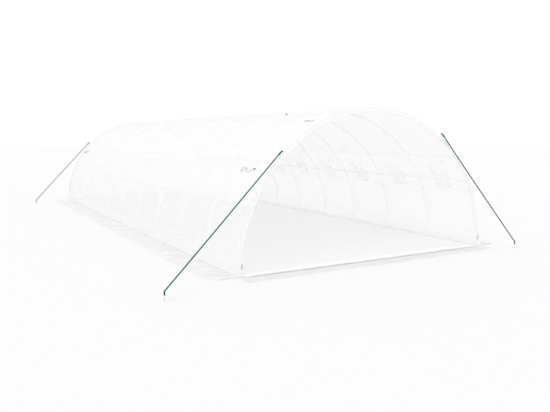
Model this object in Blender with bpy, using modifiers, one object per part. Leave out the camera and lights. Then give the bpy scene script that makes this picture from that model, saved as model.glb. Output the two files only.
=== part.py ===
"""Half-round tunnel greenhouse: hoop frame, film cover, netted windows, zipped ends, guy ropes.

Units are metres, +Z is up and the tunnel runs along Y. The origin is on the ground at the
tunnel's middle, and the open end faces -Y. An angle round the arch starts at the left foot
(-X), passes the crown at 90 degrees and ends at the right foot.
"""
import math

import bmesh
import bpy
from mathutils import Matrix, Vector

# Driving dimensions of the tunnel
tunnel_length = 10.0
tunnel_radius = 2.0
bay_count = 10
arch_steps = 30
clearance = 0.0003

# Frame
hoop_tube_radius = 0.0125
hoop_tube_sides = 6
long_tube_radius = 0.0095
long_tube_sides = 8
purlin_gap = 0.0008
purlin_setback = 0.0075
purlin_step = 5
sleeve_wall = 0.0028
sleeve_half = 0.03
socket_stop = 0.014
bar_inset = 0.0287
corner_arm = 0.05
bore_overrun = 0.01
clip_width = 0.016
clip_thickness = 0.002
clip_wrap = (0, -45, -90, -135, -180)

# Film cover
film_thickness = 0.0015
lining_thickness = 0.0006
seam_step = 7
window_low_step = 1
window_high_step = 4
window_width = 0.86
net_hem = 0.012
strand_width = 0.004

# Window flaps, gathered up behind the purlins and held by ties
flap_rows = (25.2, 27.2, 29.2, 30.8, 32.8, 34.8, 37.0, 39.0)
flap_gathered_halves = (0.13, 0.16, 0.155, 0.155, 0.165, 0.21)
flap_folds = (-1.0, -0.3, 0.3, 1.0)
flap_depth = 0.045
flap_low_share = 0.3
flap_side_share = 0.35
tie_spacing = 0.26
tie_width = 0.018
tie_thickness = 0.0015
tie_top = 38.3
tie_shoulders = (33.5, 26.2)
tie_bottom = 25.75
tie_depth = 0.0437
tie_foot_depth = 0.0045
tie_slants = (0.2, 0.05, 0.1)
toggle_radius = 0.007
toggle_length = 0.034
toggle_angle = 38.3

# End bands, zips and panels
band_width = 0.045
band_thickness = 0.002
chain_width = 0.003
chain_thickness = 0.0035
slider_length = 0.036
slider_wall = 0.002
slider_neck = 0.0024
slider_reach = 0.0108
slider_foot_angle = 4.0
slider_crown_angle = 88.0
bridge_width = 0.0025
bridge_length = 0.009
bridge_wall = 0.0015
bridge_sink = 0.0005
pull_length = 0.05
pull_width = 0.012
pull_thickness = 0.0014
pull_tilt_room = 0.0004
pull_shift = 0.0015
pull_hole_room = 0.002
pull_rim = 0.003
pull_neck_share = 0.7
pull_belly_share = 0.55
pull_tip_share = 0.6
panel_thickness = 0.0015
roll_radius = 0.024
roll_end_radius = 0.007
roll_points = 13
roll_inset = 0.02
roll_taper = 0.25

# Ground flaps
skirt_thickness = 0.0015
side_skirt_width = 0.37
end_skirt_width = 0.27
skirt_wave = 0.022
skirt_slow_wave = (2.1, 0.7, 0.7)
skirt_quick_wave = (5.3, 1.9, 0.3)
skirt_corner_share = 0.8
skirt_points_per_bay = 2

# Guy ropes, loops and pegs
loop_length = 0.045
loop_width = 0.026
loop_strap = 0.006
loop_thickness = 0.003
loop_overlap = 0.015
loop_corner = 0.0065
loop_angles = {
    "front_left": 46.2,
    "front_right": 125.2,
    "rear_left": 46.0,
    "rear_right": 134.0,
}
rope_diameter = 0.011
rope_points = 16
peg_radius = 0.005
peg_height = 0.12
peg_hook_drop = 0.014
peg_hook_radius = 0.009
peg_hook_turns = (30, 60, 90, 120, 150)
rope_routes = {
    "front_left": [
        (-1.4074, -5.0018, 1.4677),
        (-1.9640, -5.1640, 1.0060),
        (-2.5190, -5.3320, 0.5500),
        (-3.0650, -5.4960, 0.1060),
    ],
    "front_right": [
        (1.1745, -5.0022, 1.6648),
        (1.5450, -5.1300, 1.1360),
        (1.9130, -5.2640, 0.6150),
        (2.2750, -5.3950, 0.1060),
    ],
    "rear_left": [
        (-1.4124, 5.0018, 1.4626),
        (-1.9130, 4.7380, 1.0010),
        (-2.4090, 4.4720, 0.5480),
        (-2.8900, 4.2140, 0.1060),
    ],
}
peg_places = {
    "front_left": (-3.0725, -5.4979),
    "front_right": (2.2820, -5.4000),
    "rear_left": (-2.8966, 4.2104),
}

# Colours: red, green, blue, roughness, metallic and opacity
finishes = {
    "galvanised_tube": (0.72, 0.74, 0.75, 0.38, 0.9, 1.0),
    "peg_steel": (0.68, 0.69, 0.70, 0.36, 0.9, 1.0),
    "film": (0.93, 0.94, 0.94, 0.35, 0.0, 0.35),
    "window_net": (0.86, 0.88, 0.88, 0.7, 0.0, 0.6),
    "gathered_film": (0.95, 0.95, 0.95, 0.4, 0.0, 0.8),
    "ground_flap": (0.84, 0.84, 0.83, 0.5, 0.0, 0.7),
    "webbing": (0.80, 0.81, 0.81, 0.8, 0.0, 1.0),
    "black_toggle": (0.06, 0.06, 0.06, 0.5, 0.0, 1.0),
    "zip_coil": (0.88, 0.88, 0.88, 0.5, 0.0, 1.0),
    "zip_metal": (0.75, 0.75, 0.76, 0.3, 1.0, 1.0),
    "green_rope": (0.02, 0.11, 0.06, 0.8, 0.0, 1.0),
}

# Sizes that follow from the driving dimensions
half_length = tunnel_length / 2
arch_step = math.pi / arch_steps
facet_cosine = math.cos(arch_step / 2)
facet_tangent = math.tan(arch_step / 2)
film_inner_radius = tunnel_radius - film_thickness / facet_cosine
lining_radius = film_inner_radius - clearance / facet_cosine
hoop_outer_radius = lining_radius - (lining_thickness + clearance) / facet_cosine
hoop_reach = hoop_tube_radius * math.cos(math.pi / hoop_tube_sides)
hoop_radius = hoop_outer_radius - hoop_reach
first_hoop_y = -half_length + band_thickness + clearance + hoop_tube_radius
bay_length = -2 * first_hoop_y / bay_count
purlin_radius = hoop_radius - hoop_reach - purlin_gap - long_tube_radius
flat_share = math.cos(math.pi / long_tube_sides)
sleeve_radius = long_tube_radius + sleeve_wall
rail_height = sleeve_radius * flat_share
rail_x = film_inner_radius - 2 * clearance - rail_height * (1 + 2 * facet_tangent)
bore_radius = long_tube_radius + clearance / flat_share
bar_stop = tunnel_radius - bar_inset
band_inner_radius = tunnel_radius - band_width
chain_outer_radius = band_inner_radius - clearance
chain_radius = chain_outer_radius - chain_width / 2
slider_gap_half = chain_thickness / 2 + clearance
neck_outer = -(chain_width / 2 + chain_radius * (1 - math.cos(arch_step / 2)) + clearance)
neck_inner = neck_outer - slider_neck
panel_radius = chain_radius + neck_inner - clearance
end_plane = half_length - band_thickness / 2
plate_face = slider_gap_half + slider_wall
pull_radius = pull_thickness / math.sqrt(2)
pivot_height = plate_face + pull_radius + pull_tilt_room
bridge_height = pivot_height + pull_radius + pull_tilt_room
panel_hinge_height = skirt_thickness + clearance
panel_hinge_y = end_plane + panel_thickness / 2
pull_offset = (neck_inner + slider_reach) / 2 + pull_shift
film_end = half_length - band_thickness - clearance


def start_scene():
    """Remove the startup objects and make the two collections."""
    for old in list(bpy.data.objects):
        bpy.data.objects.remove(old)
    groups = {}
    for name in ("tunnel_greenhouse", "cutters"):
        groups[name] = bpy.data.collections.new(name)
        bpy.context.scene.collection.children.link(groups[name])
    return groups


def make_materials():
    """One Principled material for each finish."""
    made = {}
    for name, (red, green, blue, roughness, metallic, opacity) in finishes.items():
        material = bpy.data.materials.new(name)
        material.use_nodes = True
        shader = material.node_tree.nodes["Principled BSDF"]
        shader.inputs["Base Color"].default_value = (red, green, blue, 1.0)
        shader.inputs["Roughness"].default_value = roughness
        shader.inputs["Metallic"].default_value = metallic
        shader.inputs["Alpha"].default_value = opacity
        made[name] = material
    return made


collections = start_scene()
materials = make_materials()


def add_part(name, data, finish):
    """Put a mesh or a curve in the tunnel's collection under its own name."""
    part = bpy.data.objects.new(name, data)
    collections["tunnel_greenhouse"].objects.link(part)
    part.data.materials.append(materials[finish].copy())
    part.data.materials[0].name = name + "_finish"
    return part


def evaluated_mesh(part):
    """The mesh that an object's modifiers or curve settings make, with its caps welded."""
    bpy.context.view_layer.update()
    graph = bpy.context.evaluated_depsgraph_get()
    mesh = bpy.data.meshes.new_from_object(part.evaluated_get(graph), depsgraph=graph)
    mesh.transform(part.matrix_world)
    shape = bmesh.new()
    shape.from_mesh(mesh)
    bmesh.ops.remove_doubles(shape, verts=shape.verts, dist=0.00001)
    bmesh.ops.recalc_face_normals(shape, faces=shape.faces)
    shape.to_mesh(mesh)
    shape.free()
    bpy.data.objects.remove(part)
    return mesh


def joined_mesh(meshes):
    """One mesh that holds several closed shapes."""
    shape = bmesh.new()
    for mesh in meshes:
        shape.from_mesh(mesh)
    joined = bpy.data.meshes.new("joined")
    shape.to_mesh(joined)
    shape.free()
    return joined


def placed(mesh, place):
    """A copy of the mesh at another place."""
    copy = mesh.copy()
    copy.transform(place)
    return copy


def shaped_mesh(name, body, steps):
    """The mesh of a body after each Boolean step, with the tools kept as wire cutters."""
    work = bpy.data.objects.new(name, body)
    collections["tunnel_greenhouse"].objects.link(work)
    for operation, mesh in steps:
        tool = bpy.data.objects.new(name + "_" + operation.lower(), mesh)
        tool.hide_render = True
        tool.display_type = "WIRE"
        collections["cutters"].objects.link(tool)
        change = work.modifiers.new(operation.lower(), "BOOLEAN")
        change.operation = operation
        change.object = tool
    return evaluated_mesh(work)


def rod_mesh(start, end, radius):
    """A straight round bar with a flat underside."""
    axis = Vector(end) - Vector(start)
    place = Matrix.Translation((Vector(start) + Vector(end)) / 2)
    place = place @ axis.to_track_quat("Z", "Y").to_matrix().to_4x4()
    shape = bmesh.new()
    bmesh.ops.create_cone(
        shape,
        cap_ends=True,
        segments=long_tube_sides,
        radius1=radius,
        radius2=radius,
        depth=axis.length,
        matrix=place @ Matrix.Rotation(math.pi / long_tube_sides, 4, "Z"),
    )
    mesh = bpy.data.meshes.new("rod")
    shape.to_mesh(mesh)
    shape.free()
    return mesh


def smooth(part, angle=40.0):
    """Shade a round piece smooth, and keep its edges crisp."""
    part.data.shade_smooth()
    part.data.set_sharp_from_angle(angle=math.radians(angle))
    return part


def tube_curve(name, routes, radius, sides, radii=None):
    """A curve with round bevel and filled caps along each route of points."""
    curve = bpy.data.curves.new(name, "CURVE")
    curve.dimensions = "3D"
    curve.bevel_depth = radius
    curve.bevel_resolution = (sides - 4) // 2
    curve.use_fill_caps = True
    for route in routes:
        spline = curve.splines.new("POLY")
        spline.points.add(len(route) - 1)
        for index, (point, place) in enumerate(zip(spline.points, route)):
            point.co = (*place, 1.0)
            point.radius = radii[index] if radii else 1.0
        spline.use_smooth = True
    return curve


def flat_curve(name, outlines, thickness):
    """A filled 2D outline in X and Y with an extrude of half its thickness each way."""
    curve = bpy.data.curves.new(name, "CURVE")
    curve.dimensions = "2D"
    curve.fill_mode = "BOTH"
    curve.extrude = thickness / 2
    for outline in outlines:
        spline = curve.splines.new("POLY")
        spline.points.add(len(outline) - 1)
        for point, (across, along) in zip(spline.points, outline):
            point.co = (across, along, 0.0, 1.0)
        spline.use_cyclic_u = True
    return curve


def flat_mesh(outlines, thickness):
    """The mesh of a flat outline, for copies and unions."""
    holder = bpy.data.objects.new("outline", flat_curve("outline", outlines, thickness))
    collections["tunnel_greenhouse"].objects.link(holder)
    return evaluated_mesh(holder)


def polygon_radius(radius, angle):
    """How far a regular polygon with this corner radius is from the tunnel's axis."""
    within = angle % arch_step - arch_step / 2
    return radius * math.cos(arch_step / 2) / math.cos(within)


def arch_point(radius, angle, y=0.0):
    """The point of the faceted arch at an angle up from the left foot."""
    reach = polygon_radius(radius, angle)
    return (-reach * math.cos(angle), y, reach * math.sin(angle))


def arch_angles(start, end):
    """The start and end angles with every corner of the arch between them."""
    first = math.floor(start / arch_step + 1e-6) + 1
    last = math.ceil(end / arch_step - 1e-6) - 1
    return [start] + [corner * arch_step for corner in range(first, last + 1)] + [end]


def arch_ring(outer, inner, low=0.0):
    """Flat outline of a half ring between two arch radii, cut level at the height low."""
    outer_angles = arch_angles(math.asin(low / outer), math.pi - math.asin(low / outer))
    inner_angles = arch_angles(math.asin(low / inner), math.pi - math.asin(low / inner))
    points = [arch_point(outer, angle) for angle in outer_angles]
    points += [arch_point(inner, angle) for angle in reversed(inner_angles)]
    return [(x, z) for x, _, z in points]


def hoop_y(index):
    """Place of a hoop along the tunnel."""
    return first_hoop_y + index * bay_length


def bay_y(index):
    """Middle of a bay between two hoops."""
    return hoop_y(index) + bay_length / 2


def hoop_tube():
    """The bent tube of a hoop, from the height of one base rail over to the other."""
    low = math.atan2(rail_height, rail_x)
    route = [arch_point(hoop_radius, angle) for angle in arch_angles(low, math.pi - low)]
    curve = tube_curve("hoop", [route], hoop_tube_radius, hoop_tube_sides)
    holder = bpy.data.objects.new("hoop", curve)
    collections["tunnel_greenhouse"].objects.link(holder)
    return evaluated_mesh(holder)


def clip_meshes():
    """Straps round the three purlins, with both ends let into the hoop."""
    inner = (long_tube_radius + clearance) / math.cos(math.radians(clip_wrap[1]) / 2)
    outer = inner + clip_thickness
    top = long_tube_radius + purlin_gap + hoop_tube_radius / 2
    turns = [math.radians(turn) for turn in clip_wrap]
    outline = [(inner, top)]
    outline += [(inner * math.cos(turn), inner * math.sin(turn)) for turn in turns]
    outline += [(-inner, top), (-outer, top)]
    outline += [(outer * math.cos(turn), outer * math.sin(turn)) for turn in turns[::-1]]
    outline += [(outer, top)]
    strap = flat_mesh([outline], clip_width)
    corners = (purlin_step, arch_steps // 2, arch_steps - purlin_step)
    places = [arch_frame(purlin_radius, corner * arch_step, 0.0) for corner in corners]
    return [placed(strap, place) for place in places]


def make_hoops():
    """Hoops with their purlin clips and feet: sleeves inside, corner sockets at both ends."""
    tube = hoop_tube()
    clips = clip_meshes()
    sleeves = []
    bores = []
    rail_arms = []
    bar_arms = []
    sockets = []
    for side in (-1, 1):
        x = side * rail_x
        z = rail_height
        far = sleeve_half + bore_overrun
        sleeves.append(rod_mesh((x, -sleeve_half, z), (x, sleeve_half, z), sleeve_radius))
        bores.append(rod_mesh((x, -far, z), (x, far, z), bore_radius))
        arm = side * (rail_x - corner_arm)
        far = side * (rail_x - corner_arm - bore_overrun)
        stop = side * bar_stop
        back = clearance - hoop_tube_radius
        rail_arms.append(rod_mesh((x, back, z), (x, corner_arm, z), sleeve_radius))
        bar_arms.append(rod_mesh((x, 0.0, z), (arm, 0.0, z), sleeve_radius))
        end = corner_arm + bore_overrun
        sockets.append(rod_mesh((x, socket_stop, z), (x, end, z), bore_radius))
        sockets.append(rod_mesh((stop, 0.0, z), (far, 0.0, z), bore_radius))
    inner = shaped_mesh(
        "inner_hoop",
        tube.copy(),
        [("UNION", joined_mesh(clips + sleeves)), ("DIFFERENCE", joined_mesh(bores))],
    )
    end = shaped_mesh(
        "end_hoop",
        tube,
        [
            ("UNION", joined_mesh(clips + rail_arms)),
            ("UNION", joined_mesh(bar_arms)),
            ("DIFFERENCE", joined_mesh(sockets)),
        ],
    )
    for index in range(bay_count + 1):
        name = "hoop_{:02d}".format(index + 1)
        if 0 < index < bay_count:
            hoop = add_part(name, inner.copy(), "galvanised_tube")
        else:
            hoop = add_part(name, end.copy(), "galvanised_tube")
        hoop.location.y = hoop_y(index)
        if index == bay_count:
            hoop.rotation_euler.z = math.pi
        smooth(hoop)


def make_long_tubes():
    """Purlins under the hoops, rails through the feet and bars across both ends."""
    end = film_end - purlin_setback
    for name, corner in (
        ("left_purlin", purlin_step),
        ("ridge_purlin", arch_steps // 2),
        ("right_purlin", arch_steps - purlin_step),
    ):
        x, _, z = arch_point(purlin_radius, corner * arch_step)
        purlin = rod_mesh((x, -end, z), (x, end, z), long_tube_radius)
        smooth(add_part(name, purlin, "galvanised_tube"), 50)
    end = -first_hoop_y - socket_stop - clearance
    for name, x in (("left_base_rail", -rail_x), ("right_base_rail", rail_x)):
        rail = rod_mesh((x, -end, rail_height), (x, end, rail_height), long_tube_radius)
        smooth(add_part(name, rail, "galvanised_tube"), 50)
    end = bar_stop - clearance
    for name, y in (("front_ground_bar", hoop_y(0)), ("rear_ground_bar", hoop_y(bay_count))):
        bar = rod_mesh((-end, y, rail_height), (end, y, rail_height), long_tube_radius)
        smooth(add_part(name, bar, "galvanised_tube"), 50)


def arch_frame(radius, angle, y):
    """Placement whose X runs up the arch, Y runs outwards and Z runs along the tunnel."""
    along = Vector((math.sin(angle), 0, math.cos(angle)))
    outward = Vector((-math.cos(angle), 0, math.sin(angle)))
    place = Matrix.Identity(4)
    place.col[0][:3] = along
    place.col[1][:3] = outward
    place.col[2][:3] = along.cross(outward)
    place.col[3][:3] = Vector(arch_point(radius, angle, y))
    return place


def grid_sheet(rows, columns, place, keep, share=None):
    """A grid with each corner at its own place, without the cells that keep turns down.

    The share of a row and a column, where it is given, is stored as the vertex weight.
    """
    shape = bmesh.new()
    bmesh.ops.create_grid(shape, x_segments=rows - 1, y_segments=columns - 1, size=1.0)
    cell_of = {}
    for vert in shape.verts:
        row = round((vert.co.x + 1) / 2 * (rows - 1))
        column = round((vert.co.y + 1) / 2 * (columns - 1))
        cell_of[vert.index] = (row, column)
    dropped = []
    for face in shape.faces:
        row = min(cell_of[vert.index][0] for vert in face.verts)
        column = min(cell_of[vert.index][1] for vert in face.verts)
        if not keep(row, column):
            dropped.append(face)
    depth = shape.verts.layers.deform.verify() if share else None
    for vert in shape.verts:
        vert.co = place(*cell_of[vert.index])
        if share:
            vert[depth][0] = share(*cell_of[vert.index])
    bmesh.ops.delete(shape, geom=dropped, context="FACES")
    shape.faces.ensure_lookup_table()
    face = shape.faces[0]
    face.normal_update()
    if face.normal.dot(face.calc_center_median() * Vector((1, 0, 1))) < 0:
        bmesh.ops.reverse_faces(shape, faces=shape.faces)
    return shape


def add_sheet(name, angles, stops, radius, thickness, keep, finish):
    """A sheet bent over the hoops, with Solidify for its wall."""

    def place(row, column):
        return arch_point(radius, angles[row], stops[column])

    shape = grid_sheet(len(angles), len(stops), place, keep)
    mesh = bpy.data.meshes.new(name)
    shape.to_mesh(mesh)
    shape.free()
    sheet = add_part(name, mesh, finish)
    wall = sheet.modifiers.new("wall", "SOLIDIFY")
    wall.thickness = thickness
    wall.offset = -1
    wall.use_even_offset = True
    return sheet


def make_roof():
    """The roof length of the film, from seam to seam over the hoops."""
    low = seam_step * arch_step + clearance / tunnel_radius
    stops = [hoop_y(index) for index in range(bay_count + 1)]
    stops[0] = -film_end
    stops[-1] = film_end
    add_sheet(
        "roof_cover",
        arch_angles(low, math.pi - low),
        stops,
        tunnel_radius,
        film_thickness,
        lambda row, column: True,
        "film",
    )


def window_span(index):
    """Where a window starts and ends along the tunnel."""
    return bay_y(index) - window_width / 2, bay_y(index) + window_width / 2


def make_walls():
    """The side lengths of the film, with a window opening in each bay."""
    stops = [-film_end]
    for index in range(bay_count):
        stops += [*window_span(index), hoop_y(index + 1)]
    stops[-1] = film_end
    seam = seam_step * arch_step
    foot = clearance / tunnel_radius
    sides = (
        ("left_wall_cover", foot, seam, window_low_step),
        ("right_wall_cover", math.pi - seam, math.pi - foot, seam_step - window_high_step),
    )
    for name, start, end, low in sides:
        high = low + window_high_step - window_low_step

        def keep(row, column, low=low, high=high):
            return not (column % 3 == 1 and low <= row < high)

        angles = arch_angles(start, end)
        add_sheet(name, angles, stops, tunnel_radius, film_thickness, keep, "film")


def make_nets():
    """A net band behind the windows of each side, hemmed round every opening."""
    strand = strand_width / tunnel_radius
    hem = net_hem / tunnel_radius
    corners = range(window_low_step, window_high_step + 1)
    rows = [corners[0] * arch_step - hem, corners[0] * arch_step]
    for corner in corners[1:-1]:
        rows += [corner * arch_step, corner * arch_step + strand]
    rows += [corners[-1] * arch_step, corners[-1] * arch_step + hem]
    stops = []
    for index in range(bay_count):
        start, end = window_span(index)
        middle = bay_y(index)
        half = strand_width / 2
        stops += [start - net_hem, start, middle - half, middle + half, end, end + net_hem]

    def keep(row, column):
        strip = column % 6
        if row in (0, len(rows) - 2):
            return True
        if row % 2 == 0:
            return strip < 5
        return strip in (0, 2, 4)

    right_rows = [math.pi - angle for angle in reversed(rows)]
    for name, angles in (("left_window_net", rows), ("right_window_net", right_rows)):
        add_sheet(name, angles, stops, lining_radius, lining_thickness, keep, "window_net")


def flap_share(row, column):
    """Depth of a flap at a row and a column, as a share of its greatest depth."""
    strip = lining_thickness / flap_depth
    if row >= len(flap_rows) - 2:
        return strip
    beside = math.radians(flap_rows[2])
    chord = polygon_radius(lining_radius, beside) * math.cos(purlin_step * arch_step - beside)
    behind_purlin = (chord - purlin_radius - long_tube_radius - 2 * clearance) / flap_depth
    share = (flap_low_share, 1.0, behind_purlin, behind_purlin, 1.0, flap_low_share)[row]
    if column % len(flap_folds) in (0, len(flap_folds) - 1):
        share *= flap_side_share
    return share


def tie_outline():
    """A tie from the flap's strip, down inside the purlin and into the gathered foot."""

    def point(angle, depth):
        turn = math.radians(angle)
        reach = polygon_radius(lining_radius, turn) - depth
        return (-reach * math.cos(turn), reach * math.sin(turn))

    buried = lining_thickness / 2
    high, low = tie_shoulders
    top_slant, shoulder_slant, foot_slant = tie_slants
    near = tie_depth + tie_thickness
    return [
        point(tie_top, buried),
        point(high + shoulder_slant, near),
        point(low - shoulder_slant, near),
        point(tie_bottom - foot_slant, tie_foot_depth),
        point(tie_bottom, tie_foot_depth),
        point(low, tie_depth),
        point(high, tie_depth),
        point(tie_top - top_slant, buried),
    ]


def flap_body():
    """The left flaps: a strip in the lining space, ten gathered flaps and their ties."""
    folds = len(flap_folds)
    halves = flap_gathered_halves + (window_width / 2, window_width / 2)

    def place(row, column):
        y = bay_y(column // folds) + flap_folds[column % folds] * halves[row]
        return arch_point(lining_radius, math.radians(flap_rows[row]), y)

    def keep(row, column):
        return row == len(flap_rows) - 2 or column % folds < folds - 1

    shape = grid_sheet(len(flap_rows), folds * bay_count, place, keep, flap_share)
    mesh = bpy.data.meshes.new("flaps")
    shape.to_mesh(mesh)
    shape.free()
    flaps = bpy.data.objects.new("flaps", mesh)
    collections["tunnel_greenhouse"].objects.link(flaps)
    flaps.vertex_groups.new(name="depth")
    wall = flaps.modifiers.new("wall", "SOLIDIFY")
    wall.thickness = flap_depth
    wall.offset = -1
    wall.vertex_group = "depth"
    return evaluated_mesh(flaps)


def make_flaps():
    """Gathered window flaps of both sides, with two ties each."""
    tie = flat_mesh([tie_outline()], tie_width)
    tie.transform(Matrix.Rotation(math.pi / 2, 4, "X"))
    ties = []
    for index in range(bay_count):
        for side in (-1, 1):
            y = bay_y(index) + side * tie_spacing / 2
            ties.append(placed(tie, Matrix.Translation((0, y, 0))))
    flaps = shaped_mesh("window_flaps", flap_body(), [("UNION", joined_mesh(ties))])
    smooth(add_part("right_window_flaps", mirrored_mesh(flaps), "gathered_film"))
    smooth(add_part("left_window_flaps", flaps, "gathered_film"))


def mirrored_mesh(mesh):
    """The same mesh for the other side of the tunnel, still facing outwards."""
    copy = mesh.copy()
    copy.transform(Matrix.Scale(-1, 4, (1, 0, 0)))
    copy.flip_normals()
    return copy


def make_toggles():
    """Toggles of the ties outside the wall, in the first and the last bay."""
    half = toggle_length / 2
    for end, index in (("front", 0), ("rear", bay_count - 1)):
        y = bay_y(index) - tie_spacing / 2
        for side, angle in (("left", toggle_angle), ("right", 180 - toggle_angle)):
            turn = math.radians(angle)
            reach = polygon_radius(tunnel_radius, turn) + toggle_radius + clearance
            middle = Vector((-math.cos(turn), 0, math.sin(turn))) * reach
            along = Vector((0, half, 0))
            centre = middle + Vector((0, y, 0))
            toggle = rod_mesh(centre - along, centre + along, toggle_radius)
            smooth(add_part(end + "_" + side + "_toggle", toggle, "black_toggle"), 50)


def make_bands():
    """Hem bands round both ends, with the zip chain along their inner edge."""
    upright = Matrix.Rotation(math.pi / 2, 4, "X")
    for name, y in (("front", -end_plane), ("rear", end_plane)):
        place = Matrix.Translation((0, y, 0)) @ upright
        outline = arch_ring(tunnel_radius, band_inner_radius)
        band = add_part(
            name + "_end_band", flat_curve("band", [outline], band_thickness), "ground_flap"
        )
        band.matrix_world = place
        low = skirt_thickness + clearance
        outline = arch_ring(chain_outer_radius, chain_outer_radius - chain_width, low)
        chain = add_part(
            name + "_zip_chain", flat_curve("chain", [outline], chain_thickness), "zip_coil"
        )
        chain.matrix_world = place


def make_rear_panel():
    """The zipped half-round panel, hinged where it is sewn to the sill."""
    start = math.asin(panel_hinge_height / panel_radius)
    angles = arch_angles(start, math.pi - start)
    outline = []
    for angle in angles:
        x, _, z = arch_point(panel_radius, angle)
        outline.append((x, z - panel_hinge_height))
    panel = add_part(
        "rear_end_panel", flat_curve("panel", [outline], panel_thickness), "film"
    )
    hinge = bpy.data.objects.new("rear_panel_hinge", None)
    collections["tunnel_greenhouse"].objects.link(hinge)
    hinge.location = (0, panel_hinge_y, panel_hinge_height)
    panel.parent = hinge
    panel.location = (0, -panel_thickness / 2, 0)
    panel.rotation_euler = (math.pi / 2, 0, 0)


def make_front_roll():
    """The front panel rolled down on the sill: thick in the middle, where it was tallest."""
    half = panel_radius - roll_inset
    route = []
    radii = []
    for index in range(roll_points):
        across = -1 + 2 * index / (roll_points - 1)
        radius = roll_end_radius
        radius += (roll_radius - roll_end_radius) * (1 - across * across) ** roll_taper
        x = across * half
        route.append((x, -half_length - radius, skirt_thickness + clearance + radius))
        radii.append(radius / roll_radius)
    curve = tube_curve("front_panel_roll", [route], roll_radius, 8, radii)
    add_part("front_panel_roll", curve, "gathered_film")


def slider_mesh():
    """A zip slider: two plates and a neck round the chain, and a bridge for its pull."""
    outer = plate_face
    gap = slider_gap_half
    body = flat_mesh(
        [
            [
                (neck_inner, outer),
                (neck_inner, -outer),
                (slider_reach, -outer),
                (slider_reach, -gap),
                (neck_outer, -gap),
                (neck_outer, gap),
                (slider_reach, gap),
                (slider_reach, outer),
            ]
        ],
        slider_length,
    )
    low = outer - bridge_sink
    half = bridge_length / 2
    bridge = flat_mesh(
        [
            [
                (-half, low),
                (-half + bridge_wall, low),
                (-half + bridge_wall, bridge_height),
                (half - bridge_wall, bridge_height),
                (half - bridge_wall, low),
                (half, low),
                (half, bridge_height + bridge_wall),
                (-half, bridge_height + bridge_wall),
            ]
        ],
        bridge_width,
    )
    bridge.transform(Matrix.Rotation(-math.pi / 2, 4, "Y"))
    bridge.transform(Matrix.Translation((pull_offset, 0, 0)))
    whole = bpy.data.objects.new("slider", body)
    arch = bpy.data.objects.new("bridge", bridge)
    for piece in (whole, arch):
        collections["tunnel_greenhouse"].objects.link(piece)
    union = whole.modifiers.new("bridge", "BOOLEAN")
    union.operation = "UNION"
    union.object = arch
    mesh = evaluated_mesh(whole)
    bpy.data.objects.remove(arch)
    return mesh


def pull_mesh(direction):
    """A pull tab on its rim bar at the origin, reaching along Z in the given direction."""
    half = pull_width / 2
    rim = pull_thickness / 2
    neck = half * pull_neck_share
    tip = half * pull_tip_share
    belly = pull_length * pull_belly_share
    hole_far = bridge_length / 2 + pull_hole_room
    outline = [
        (-neck, -rim),
        (neck, -rim),
        (neck, hole_far + pull_rim),
        (half, belly),
        (tip, pull_length),
        (-tip, pull_length),
        (-half, belly),
        (-neck, hole_far + pull_rim),
    ]
    hole = [
        (-bridge_width, rim),
        (bridge_width, rim),
        (bridge_width, hole_far),
        (-bridge_width, hole_far),
    ]
    mesh = flat_mesh([outline, hole], pull_thickness)
    mesh.transform(Matrix.Rotation(math.pi / 2, 4, "X"))
    if direction < 0:
        mesh.transform(Matrix.Rotation(math.pi, 4, "Y"))
    return mesh


def zip_frame(angle, y, face):
    """Placement on a zip: X outwards from the axis, Y out of the end, Z along the zip."""
    outward = Vector((-math.cos(angle), 0, math.sin(angle)))
    normal = Vector((0, face, 0))
    place = Matrix.Identity(4)
    place.col[0][:3] = outward
    place.col[1][:3] = normal
    place.col[2][:3] = outward.cross(normal)
    place.col[3][:3] = outward * chain_radius + Vector((0, y, 0))
    return place


def make_sliders():
    """Two sliders on each zip: at the feet of the open end, at the crown of the closed one."""
    slider = slider_mesh()
    for end, y, face, rest in (
        ("front", -end_plane, -1, slider_foot_angle),
        ("rear", end_plane, 1, slider_crown_angle),
    ):
        for side, angle, sign in (("left", rest, 1), ("right", 180 - rest, -1)):
            axis = bpy.data.objects.new(end + "_" + side + "_zip_axis", None)
            collections["tunnel_greenhouse"].objects.link(axis)
            axis.location = (0, y, 0)
            bpy.context.view_layer.update()
            place = zip_frame(math.radians(angle), y, face)
            name = end + "_" + side + "_slider"
            part = add_part(name, slider.copy(), "zip_metal")
            part.parent = axis
            part.matrix_parent_inverse = axis.matrix_world.inverted()
            part.matrix_basis = place
            down = -1 if face * sign < 0 else 1
            pivot = place @ Matrix.Translation((pull_offset, pivot_height, 0))
            pull = add_part(end + "_" + side + "_pull", pull_mesh(down), "zip_metal")
            pull.parent = part
            bpy.context.view_layer.update()
            pull.matrix_parent_inverse = part.matrix_world.inverted()
            pull.matrix_basis = pivot


def skirt_edge(place, width):
    """Outer edge of a ground flap: its width with the slack film's waves."""
    waves = [
        share * math.sin(turn * place + start)
        for turn, start, share in (skirt_slow_wave, skirt_quick_wave)
    ]
    return width + skirt_wave * sum(waves)


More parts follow.
